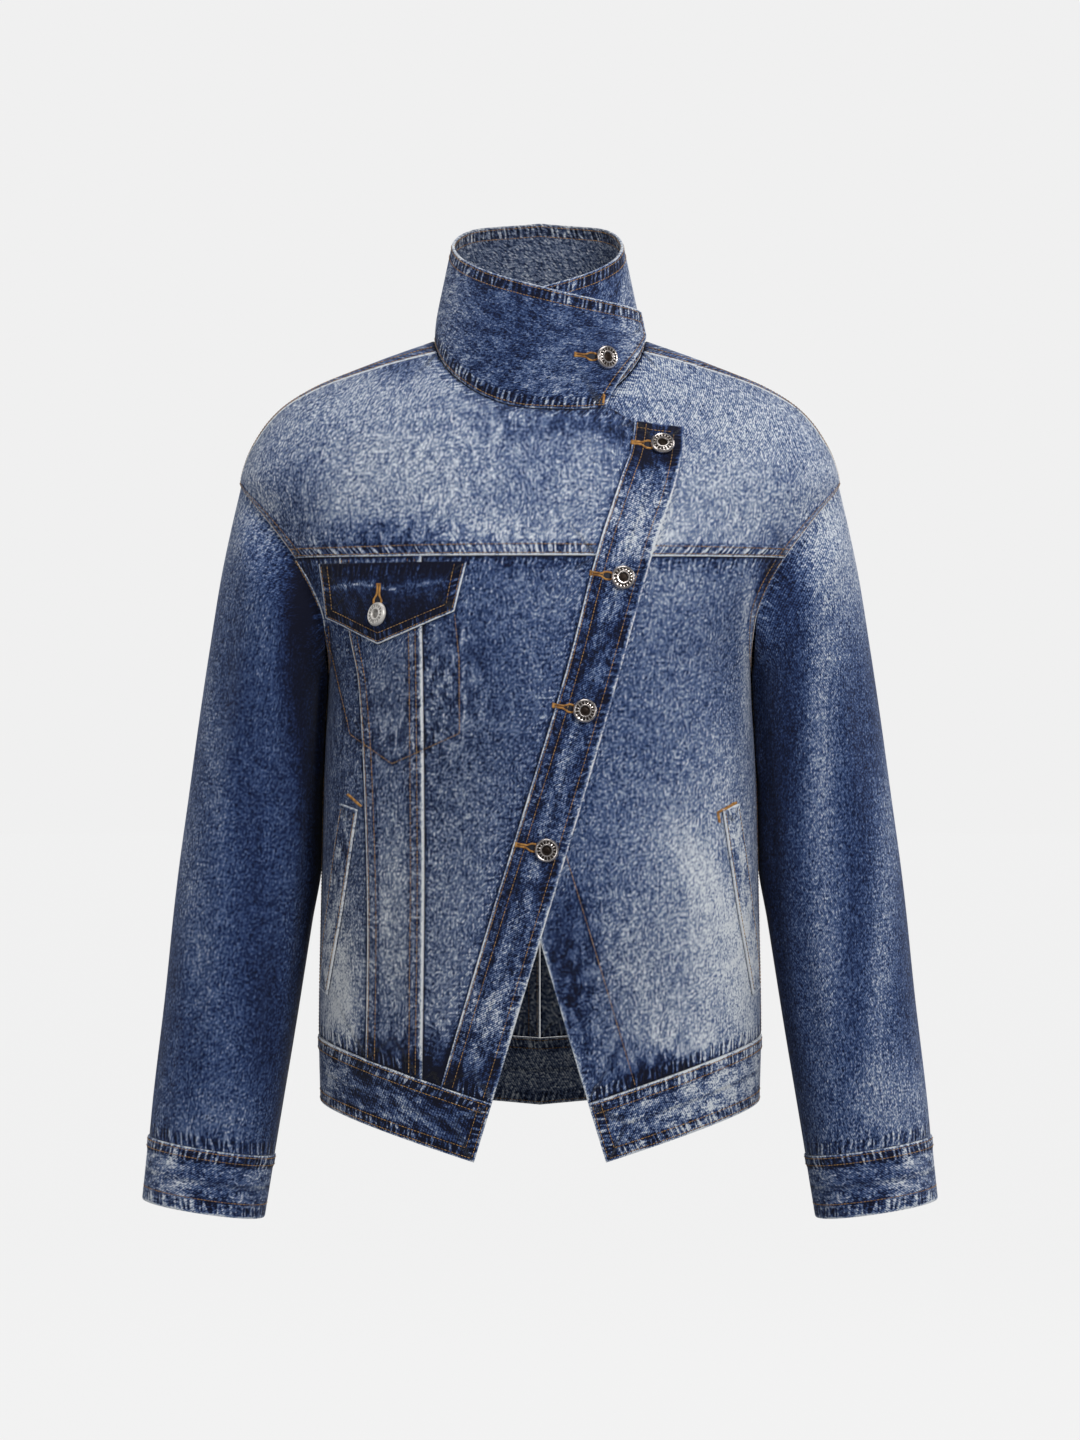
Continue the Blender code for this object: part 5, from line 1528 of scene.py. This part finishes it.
def even_stitches(points, normals):
    """Start, end and normal of each stitch along a line."""
    along = lengths(points, 0)
    count = int(along[-1] / STITCH)
    pitch = along[-1] / max(count, 1)
    first = (np.arange(count) + (1 - STITCH_SHARE) / 2) * pitch

    def at(values, place):
        return np.stack([np.interp(place, along, values[:, k]) for k in range(3)], -1)

    middle = first + pitch * STITCH_SHARE / 2
    return at(points, first), at(points, first + pitch * STITCH_SHARE), unit(at(normals, middle))


# ---------------------------------------------------------------- the pieces
outer_left, outer_right, inner_left, inner_right = (
    line_angle(line, offset) for line in (strip_outer_seam, strip_inner_seam) for offset in (-GAP, GAP))
band_left = line_angle(band_seam, -GAP)
SHOULDER_START = (ARM_TOP - YOKE_SEAM) / (NECK - YOKE_SEAM)
SIDE_SHARE = (ARM_BOTTOM - WAIST_SEAM) / (NECK - WAIST_SEAM)


def sew_front(node, surface, left, right, side=1, thickness=CLOTH, slot="denim_blue", tone=front_tone):
    """A front piece between the waist seam and the yoke seam."""
    return sew_piece(node, surface, (left, right, WAIST_UNDER, UNDER), side, thickness, BODY_DENIM, slot,
                     tone, straight=True, creases=FRONT_CREASES)


def sew_yoke(node, side, end_line, end_edge):
    """A front yoke. The back laps over it along the shoulder."""
    return sew_piece(node, yoke_surface(side, side, end_line), (LONG_LAP, end_edge, LAPPED, UNDER), side,
                     CLOTH, BODY_DENIM, "denim_pale", yoke_tone, straight=True, creases=FRONT_CREASES,
                     unsewn=(0, SHOULDER_START, 2.0))


def sew_back(node, side, centre_edge):
    """Half of the back. The front laps over its side edge below the armhole."""
    return sew_piece(node, back_surface, (centre_edge, LONG_LAP, WAIST_UNDER, UNDER), side, CLOTH,
                     BODY_DENIM, "denim_blue", back_tone, straight=True, creases=BACK_CREASES,
                     unsewn=(1, -1.0, SIDE_SHARE))


def sew_laid(node, surface, rim, top, side, thickness, material, slot, tone, front, mottle):
    """A small piece that lies on a front, with the same rim round three of its sides."""
    return sew_piece(node, surface, (rim, rim, rim, top), side, thickness, material, slot, tone,
                     step=SMALL_PIECE_STEP, straight=True, mottle=mottle, held="laid",
                     rests_on=(front + "_cloth",))


side_front = sew_front("front_right_side", lower_surface(front_side_angle, outer_left), LONG_LAP, LONG_UNDER)
strip = sew_front("front_right_strip", lower_surface(outer_right, inner_left, BAND_LIFT), LONG_LAP,
                  STRIP_INNER_EDGE, 1, CLOTH + BAND_LIFT, "denim_pale", strip_tone)
sew_front("front_right_centre", lower_surface(inner_right, band_left), LONG_UNDER, LONG_UNDER)
left_front = sew_front("front_left", lower_surface(front_side_angle, EDGE_ANGLE, 0.0, -1), LONG_LAP,
                       BUTTON_EDGE, -1)
right_yoke = sew_yoke("yoke_front_right", 1, band_seam, LONG_UNDER)
left_yoke = sew_yoke("yoke_front_left", -1, front_edge, FOLDED)
placket = sew_piece("placket_right", placket_surface(), (LONG_LAP, FRONT_FOLD, WAIST_UNDER, TOP_FOLD), 1,
                    BAND_CLOTH, BAND_DENIM, "denim_dark", band_tone, step=FINE_STEP, mottle=0.7)
back_right = sew_back("back_right", 1, LONG_LAP)
back_left = sew_back("back_left", -1, LONG_UNDER)
waistband = sew_piece(
    "waistband", waistband_surface, (BAND_RIM, BAND_RIM, BAND_RIM, LAPPED), 1, CLOTH + 2 * WAISTBAND_LIFT,
    BAND_DENIM, "denim_dark", waist_tone, turned=True, mottle=0.9)
collar = sew_piece(
    "collar", collar_surface, (COLLAR_END, COLLAR_END, NECK_EDGE, COLLAR_RIM), 1, COLLAR_CLOTH,
    BAND_DENIM, "denim_dark", collar_tone, step=FINE_STEP, turned=True, mottle=0.45)
flap = sew_laid("chest_flap", flap_surface, FLAP_RIM, UNDER, 1, FLAP_CLOTH, BAND_DENIM, "denim_dark",
                flap_tone, "front_right_side", 0.4)
welts = [sew_laid("welt_" + SIDES[side], welt_surface, WELT_RIM, WELT_RIM, side, WELT_CLOTH, BODY_DENIM,
                  "denim_blue", welt_tone, front, 0.5)
         for side, front in ((1, "front_right_side"), (-1, "front_left"))]
for side in SIDES:
    make_sleeve(side)
cuffs = [make_cuff(side) for side in SIDES]


# ---------------------------------------------------------------- rows of topstitching
for cloth in (side_front, left_front):
    sew("fronts", cloth, "left", *LONG_LAP.rows)
for cloth in (right_yoke, left_yoke):
    sew("fronts", cloth, "left", *LONG_LAP.rows, below=ARM_TOP)
    sew("fronts", cloth, "bottom", *LAPPED.rows)
sew("fronts", strip, "left", *LONG_LAP.rows)
sew("fronts", strip, "right", *STRIP_INNER_EDGE.rows)
sew("fronts", left_front, "right", *BUTTON_EDGE.rows)
sew("fronts", placket, "left", *LONG_LAP.rows)
sew("fronts", placket, "right", *FRONT_FOLD.rows, top=TOP_FOLD.rows[0])
sew("fronts", placket, "top", *TOP_FOLD.rows, right=FRONT_FOLD.rows[0])
for row in FLAP_RIM.rows:
    sew("fronts", flap, "bottom", row, left=row, right=row)
    for end in ("left", "right"):
        sew("fronts", flap, end, row, bottom=row)
for welt in welts:
    for end in ("left", "right"):
        sew("fronts", welt, end, *WELT_RIM.rows, top=WELT_RIM.rows[0], bottom=WELT_RIM.rows[0])
for cloth in (back_right, back_left):
    sew("back", cloth, "right", *LONG_LAP.rows, above=ARM_BOTTOM)
sew("back", back_right, "left", *LONG_LAP.rows)
sew_inside("back", back_right, "left", *LONG_LAP.rows)
RIM_ENDS = {"left": BAND_RIM.rows[0], "right": BAND_RIM.rows[0]}
sew("bands", waistband, "top", *LAPPED.rows, **RIM_ENDS)
sew_inside("bands", waistband, "top", *LAPPED.rows, **RIM_ENDS)
sew_inside("bands", waistband, "bottom", BAND_RIM.rows[0], **RIM_ENDS)
for row in BAND_RIM.rows:
    sew("bands", waistband, "bottom", row, left=row, right=row)
    for end in ("left", "right"):
        sew("bands", waistband, end, row, bottom=row, top=LAPPED.rows[0])
for cuff in cuffs:
    sew("bands", cuff, "top", *CUFF_SEAM.rows)
    sew("bands", cuff, "bottom", *CUFF_RIM.rows)
COLLAR_ENDS_ROW = {"left": COLLAR_END.rows[0], "right": COLLAR_END.rows[0]}
sew("bands", collar, "top", *COLLAR_RIM.rows, **COLLAR_ENDS_ROW)
sew("bands", collar, "bottom", *NECK_EDGE.rows)
for end in ("left", "right"):
    sew("bands", collar, end, *COLLAR_END.rows, top=COLLAR_RIM.rows[0], bottom=NECK_EDGE.rows[0])
sew_inside("bands", collar, "top", *COLLAR_RIM.rows, **COLLAR_ENDS_ROW)


def lay_on(x, z):
    """The places and normals where points seen from in front fall on the cloth."""
    places, normals = [], []
    for a, b in zip(x, z):
        place, normal, _, _ = CATCHER.ray_cast(Vector((a * MM, -0.4, b * MM)), Vector((0, 1, 0)))
        places.append(tuple(place / MM))
        normals.append(tuple(normal if normal.y < 0 else -normal))
    return np.array(places), np.array(normals)


def even_line(points, step):
    """Points at even steps along straight stretches."""
    points = np.array(points, float)
    along = lengths(points, 0)
    at = np.linspace(0, along[-1], int(along[-1] / step) + 1)
    return np.interp(at, along, points[:, 0]), np.interp(at, along, points[:, 1])


CATCHER = front_catcher((
    "front_right_side", "front_right_strip", "front_right_centre", "front_left", "yoke_front_right",
    "yoke_front_left", "placket_right", "chest_flap", "collar", "welt_right", "welt_left"))

# The chest pocket's bag
RUNS["fronts"].append(lay_on(*even_line(POCKET_BAG, 1.5)))

for group, runs in RUNS.items():
    rows = [even_stitches(points, normals) for points, normals in runs]
    thread_mesh("topstitching_" + group, *(np.concatenate(ends) for ends in zip(*rows)), THREAD, THREAD_RISE,
                GOLD_THREAD)


# ---------------------------------------------------------------- bar-tacks and buttonholes
# Half length of a bar-tack's stitches, their pitch, and how far they lean, as a share of it;
# then the radius and height of their thread
TACK_HALF, TACK_PITCH, TACK_LEAN = 0.9, 0.5, 0.4
HOLE_THREAD_RADIUS, HOLE_THREAD_RISE = 0.46, 0.40
# A keyhole buttonhole along its length: where its stitches begin, their pitch, lean and
# length, and half the width of the bar at its start
HOLE_START, HOLE_LENGTH, HOLE_PITCH, HOLE_LEAN = 0.6, 16.0, 0.62, 0.25
HOLE_STITCH, HOLE_BAR = 1.5, 1.5
# Half the width of its slit and how much wider its eyelet is; where the eyelet begins to
# widen, over what length, where its middle is, and its half length
SLIT_HALF, EYELET_HALF = 0.12, 1.9
EYELET_START, EYELET_RUN, EYELET_MIDDLE, EYELET_ROUND = 6.5, 5.0, 12.0, 4.0
# The strip of painted shadow in each slit: its steps along the slit, how much wider than the opening it is,
# and how far above the cloth it lies
SLIT_SHADOW_STEPS, SLIT_SHADOW_MARGIN, SLIT_SHADOW_LIFT = 16, 0.1, 0.08
# Each buttonhole's bar, and the way to its button's middle, as seen from in front
Hole = namedtuple("Hole", "x z run_x run_z")
HOLES = table(
    Hole,
    (66.2, -80.2, 21.8, -3.3), (36.2, -175.8, 22.6, -3.5), (9.4, -270.0, 22.3, -4.0),
    (-17.0, -369.0, 21.8, -4.0), (25.6, -15.0, 21.1, -2.0), (-115.2, -183.6, -1.8, -20.4),
)
# The other bar-tacks, from end to end
Tack = namedtuple("Tack", "x0 z0 x1 z1")
TACKS = table(
    Tack,
    (-138.6, -334.2, -128.6, -342.6), (127.8, -347.0, 141.8, -340.2),
    (127.8, -347.0, 129.0, -354.0), (46.6, -44.5, 45.9, -50.5),
)


def directions(run_x, run_z):
    """The way along a line as seen from in front, the way across it, and its length."""
    long = math.hypot(run_x, run_z)
    run = np.array([run_x, run_z]) / long
    return run, np.array([-run[1], run[0]]), long


def bar_tack(x0, z0, x1, z1):
    """Dense stitches across a short line, each given by its two ends."""
    run, across, long = directions(x1 - x0, z1 - z0)
    middles = [np.array([x0, z0]) + run * i * TACK_PITCH for i in range(int(long / TACK_PITCH) + 1)]
    half = across * TACK_HALF + run * TACK_PITCH * TACK_LEAN
    return [(middle - half, middle + half) for middle in middles]


def hole_opening(along):
    """Half the opening of a keyhole buttonhole, from its bar to its eyelet."""
    eyelet = EYELET_HALF * smooth_step((along - EYELET_START) / EYELET_RUN)
    past_middle = max(along - EYELET_MIDDLE, 0.0) / EYELET_ROUND
    return SLIT_HALF + eyelet * np.sqrt(max(1 - past_middle ** 2, 0.0))


def keyhole(x, z, run_x, run_z):
    """Stitches of a keyhole buttonhole whose bar is at x, z and whose eyelet lies along run."""
    run, across, _ = directions(run_x, run_z)
    start = np.array([x, z])
    pairs = bar_tack(*(start - across * HOLE_BAR), *(start + across * HOLE_BAR))
    for i in range(int(HOLE_LENGTH / HOLE_PITCH)):
        along = HOLE_START + i * HOLE_PITCH
        for way in (1, -1):
            edge = start + run * along + across * way * hole_opening(along)
            pairs.append((edge, edge + run * HOLE_LEAN + across * way * HOLE_STITCH))
    return pairs


def hole_slit_shadow(x, z, run_x, run_z):
    """Painted shadow in the slit between a buttonhole's two edges, as a thin dark strip on the cloth."""
    run, across, _ = directions(run_x, run_z)
    points = []
    for along in np.linspace(HOLE_START, HOLE_LENGTH, SLIT_SHADOW_STEPS):
        middle, wide = np.array([x, z]) + run * along, hole_opening(along) + SLIT_SHADOW_MARGIN
        points += [middle - across * wide, middle + across * wide]
    places, normals = lay_on(*zip(*points))
    return (places + normals * SLIT_SHADOW_LIFT) * MM


pairs = [pair for hole in HOLES for pair in keyhole(*hole)]
pairs = np.array(pairs + [pair for tack in TACKS for pair in bar_tack(*tack)])
starts, normals = lay_on(*pairs[:, 0].T)
ends, _ = lay_on(*pairs[:, 1].T)
thread_mesh("buttonholes_and_bar_tacks", starts, ends, normals, HOLE_THREAD_RADIUS, HOLE_THREAD_RISE,
            HOLE_THREAD)

rungs = np.arange(len(HOLES) * SLIT_SHADOW_STEPS * 2).reshape(len(HOLES), SLIT_SHADOW_STEPS, 2)
low, high = rungs[:, :-1], rungs[:, 1:]
slit_shadow_faces = np.stack([low[..., 0], low[..., 1], high[..., 1], high[..., 0]], -1).reshape(-1, 4)
slit_shadow_mesh = bpy.data.meshes.new("buttonhole_cuts")
slit_shadow_mesh.from_pydata(np.concatenate([hole_slit_shadow(*hole) for hole in HOLES]).tolist(), [], slit_shadow_faces.tolist())
add_piece("buttonhole_cuts", slit_shadow_mesh, HOLE_SHADOW)


# ---------------------------------------------------------------- buttons
# From the edge of the underside, up the rim, over the ring and down into the hollow middle
Turn = namedtuple("Turn", "radius height")
BUTTON_SIDE = table(
    Turn,
    (6.5, 0.0), (8.2, 0.5), (8.75, 1.5), (8.6, 2.5), (8.0, 3.4), (7.3, 3.8),
    (6.9, 3.6), (4.6, 3.7), (4.3, 3.95), (3.7, 3.9), (3.2, 3.2), (2.9, 2.3),
    (2.0, 2.2), (1.6, 2.4), (0.8, 2.5),
)
BUTTON_ROUND, BUTTON_SHARP_ANGLE = 48, 38
# The hatched ring: its two radii, and how far inside it a face's floor is dark; one face in
# how many is left whole, the frame round a sunk face, how deep it sinks, and the height below
# which its floor is dark
RING_INNER, RING_OUTER, RING_MARGIN = 4.6, 6.9, 0.05
HATCH_EVERY, HATCH_FRAME, HATCH_DEPTH, HATCH_FLOOR = 3, 0.13, 0.30, 3.55
CENTRE_FRAME = 0.25
# How much darker the hollow is, within a radius
HOLLOWS = ((3.0, 1.0), (3.3, 0.5))
BUTTON_SEAT = 0.6
Button = namedtuple("Button", "name x z")
BAND_BUTTONS = table(
    Button,
    ("button_top", 88.0, -83.5), ("button_chest", 58.8, -179.3),
    ("button_waist", 31.7, -274.0), ("button_low", 4.8, -373.0),
)
FLAP_BUTTON = Button("button_flap", -117.0, -204.0)
COLLAR_BUTTON = Button("button_collar", 46.7, -17.0)
# The flap's button hangs on its shank: which way it faces, its seat, and how far it has shifted
TILTED_FACING, TILTED_SEAT, TILTED_SHIFT = Vector((-0.70, -0.68, 0.19)), 3.6, Vector((4.6, 0.0, -0.8))


def middle_radius(x, y):
    return math.hypot(x, y) / MM


def on_ring(face):
    """Whether a face of the button is one of those that are hatched."""
    turn = round(math.degrees(math.atan2(face.center.y, face.center.x)) * BUTTON_ROUND / 360 - 0.5)
    inside = RING_INNER < middle_radius(face.center.x, face.center.y) < RING_OUTER
    return inside and face.normal.z > 0.5 and turn % HATCH_EVERY != 0


def hollow_share(place):
    """How dark a point of the button is: in a hatch's floor and in the middle."""
    radius = middle_radius(place.x, place.y)
    if RING_INNER < radius < RING_OUTER - RING_MARGIN and place.z / MM < HATCH_FLOOR:
        return 1.0
    return next((share for within, share in HOLLOWS if radius < within), 0.0)


def model_button():
    """One shank button: a turned ring with a hatched face round a dark hollow."""
    bpy.ops.object.select_all(action="DESELECT")
    first = BUTTON_SIDE[0]
    bpy.ops.mesh.primitive_circle_add(vertices=BUTTON_ROUND, radius=first.radius * MM, fill_type="NGON",
                                      location=(0, 0, first.height * MM))
    button = bpy.context.object
    bpy.ops.object.mode_set(mode="EDIT")
    bpy.ops.mesh.select_mode(type="FACE")
    bpy.ops.mesh.select_all(action="SELECT")
    for turn, following in zip(BUTTON_SIDE, BUTTON_SIDE[1:]):
        bpy.ops.mesh.extrude_region_move(
            TRANSFORM_OT_translate={"value": (0, 0, (following.height - turn.height) * MM)})
        share = following.radius / turn.radius
        bpy.ops.transform.resize(value=(share, share, 1))
    bpy.ops.mesh.inset(thickness=CENTRE_FRAME * MM)
    bpy.ops.mesh.select_all(action="DESELECT")
    bpy.ops.object.mode_set(mode="OBJECT")
    for face in button.data.polygons:
        face.select = on_ring(face)
    bpy.ops.object.mode_set(mode="EDIT")
    bpy.ops.mesh.inset(thickness=HATCH_FRAME * MM, use_individual=True)
    bpy.ops.transform.translate(value=(0, 0, -HATCH_DEPTH * MM))
    bpy.ops.mesh.select_all(action="SELECT")
    bpy.ops.mesh.normals_make_consistent(inside=False)
    bpy.ops.object.mode_set(mode="OBJECT")
    depth = [hollow_share(vertex.co) for vertex in button.data.vertices]
    button.data.attributes.new("hollow", "FLOAT", "POINT").data.foreach_set("value", depth)
    bpy.ops.object.shade_smooth_by_angle(angle=math.radians(BUTTON_SHARP_ANGLE))
    return button


def button_seats():
    """Where each button sits on the cloth, and the way out from it there."""
    seats = {name: body_cloth(*on_front(x, z), BAND_LIFT, 1) for name, x, z in BAND_BUTTONS}
    seats[FLAP_BUTTON.name] = body_cloth(*on_front(FLAP_BUTTON.x, FLAP_BUTTON.z), FLAP_LIFT, 1)
    z = np.full(1, COLLAR_BUTTON.z)
    angle = bisect(lambda a: collar_cone(a, z)[..., 0] - COLLAR_BUTTON.x, 0.0, FRONT_LIMIT, z)
    outward = collar_normal(angle, z)
    place = collar_cone(angle, z) + outward * COLLAR_ENDS[1].lift
    seats[COLLAR_BUTTON.name] = (place[0], outward[0])
    return seats


pattern = model_button()
for name, (place, outward) in button_seats().items():
    tilted = name == FLAP_BUTTON.name
    place, outward = Vector(place), Vector(outward)
    facing = TILTED_FACING.normalized() if tilted else outward
    place += outward * (TILTED_SEAT if tilted else BUTTON_SEAT) + (TILTED_SHIFT if tilted else Vector())
    mesh = pattern.data.copy()
    mesh.transform(Matrix.Translation(place * MM) @ facing.to_track_quat("Z", "Y").to_matrix().to_4x4())
    add_piece(name + "_metal", mesh, SILVER_PAINTED_LIT if tilted else SILVER, name)
bpy.data.objects.remove(pattern, do_unlink=True)


# ---------------------------------------------------------------- studio
PAPER = linear(240, 240, 240)
SKY, SKY_STRENGTH = (0.92, 0.95, 1.0, 1.0), 0.20
FLOOR_RADIUS, FLOOR_LEVEL = 30.0, -1.15
Lamp = namedtuple("Lamp", "name place aim size power")
LAMPS = table(
    Lamp,
    ("key", (1.5, -2.8, 1.2), (0, 0, -0.25), (1.2, 1.2), 60.0),
    ("fill", (-2.2, -2.4, 0.4), (0, 0, -0.3), (1.6, 1.8), 16.0),
    ("right_rim", (2.6, 0.9, 0.5), (0.1, 0, -0.25), (0.8, 1.8), 22.0),
    ("left_rim", (-2.6, 1.1, 0.5), (-0.1, 0, -0.25), (0.8, 1.8), 12.0),
    ("back", (0.5, 3.0, 1.0), (0, 0, -0.3), (1.6, 1.4), 42.0),
    ("top", (0.0, -0.2, 2.2), (0, 0, -0.2), (1.6, 1.2), 12.0),
)
CAMERA_PLACE, FOCAL_LENGTH, SENSOR = (0.0, -3.2, -0.2805), 108.11, 36.0


def add_floor():
    """A wide plain floor below the jacket. It glows evenly and throws no light back on it."""
    material, _, shader = new_material("studio_floor_paper")
    settings = {"Base Color": (0.02, 0.02, 0.02, 1.0), "Roughness": 1.0, "Specular IOR Level": 0.0,
                "Emission Color": PAPER, "Emission Strength": 1.0}
    for key, value in settings.items():
        shader.inputs[key].default_value = value
    bpy.ops.object.select_all(action="DESELECT")
    bpy.ops.mesh.primitive_circle_add(vertices=96, radius=FLOOR_RADIUS, fill_type="NGON",
                                      location=(0, 0, FLOOR_LEVEL))
    floor = bpy.context.object
    floor.name = "studio_floor"
    floor.visible_diffuse = floor.visible_glossy = False
    floor.data.materials.append(material)


def add_light(row):
    lamp = bpy.data.lights.new(row.name, "AREA")
    lamp.shape, lamp.energy = "RECTANGLE", row.power
    lamp.size, lamp.size_y = row.size
    light = bpy.data.objects.new(row.name, lamp)
    light.location = row.place
    light.rotation_euler = (Vector(row.aim) - Vector(row.place)).to_track_quat("-Z", "Y").to_euler()
    bpy.context.scene.collection.objects.link(light)


def add_world():
    """Paper as the camera sees it, and a faint cool sky for the light."""
    world = bpy.data.worlds.new("studio")
    world.use_nodes = True
    sky = world.node_tree
    backdrop, ambient = sky.nodes["Background"], sky.nodes.new("ShaderNodeBackground")
    backdrop.inputs["Color"].default_value = PAPER
    ambient.inputs["Color"].default_value = SKY
    ambient.inputs["Strength"].default_value = SKY_STRENGTH
    seen, chosen = sky.nodes.new("ShaderNodeLightPath"), sky.nodes.new("ShaderNodeMixShader")
    sky.links.new(seen.outputs["Is Camera Ray"], chosen.inputs["Fac"])
    sky.links.new(ambient.outputs["Background"], chosen.inputs[1])
    sky.links.new(backdrop.outputs["Background"], chosen.inputs[2])
    sky.links.new(chosen.outputs["Shader"], sky.nodes["World Output"].inputs["Surface"])
    bpy.context.scene.world = world
    bpy.context.scene.view_settings.view_transform = "Standard"


def add_camera():
    view = bpy.data.cameras.new("view")
    view.lens, view.sensor_width, view.sensor_fit = FOCAL_LENGTH, SENSOR, "AUTO"
    camera = bpy.data.objects.new("view", view)
    camera.location, camera.rotation_euler = CAMERA_PLACE, (math.pi / 2, 0.0, 0.0)
    bpy.context.scene.collection.objects.link(camera)
    bpy.context.scene.camera = camera


add_floor()
for lamp_row in LAMPS:
    add_light(lamp_row)
add_world()
add_camera()

for piece_name, cut in CUTS.items():
    print("cut", piece_name, cut)
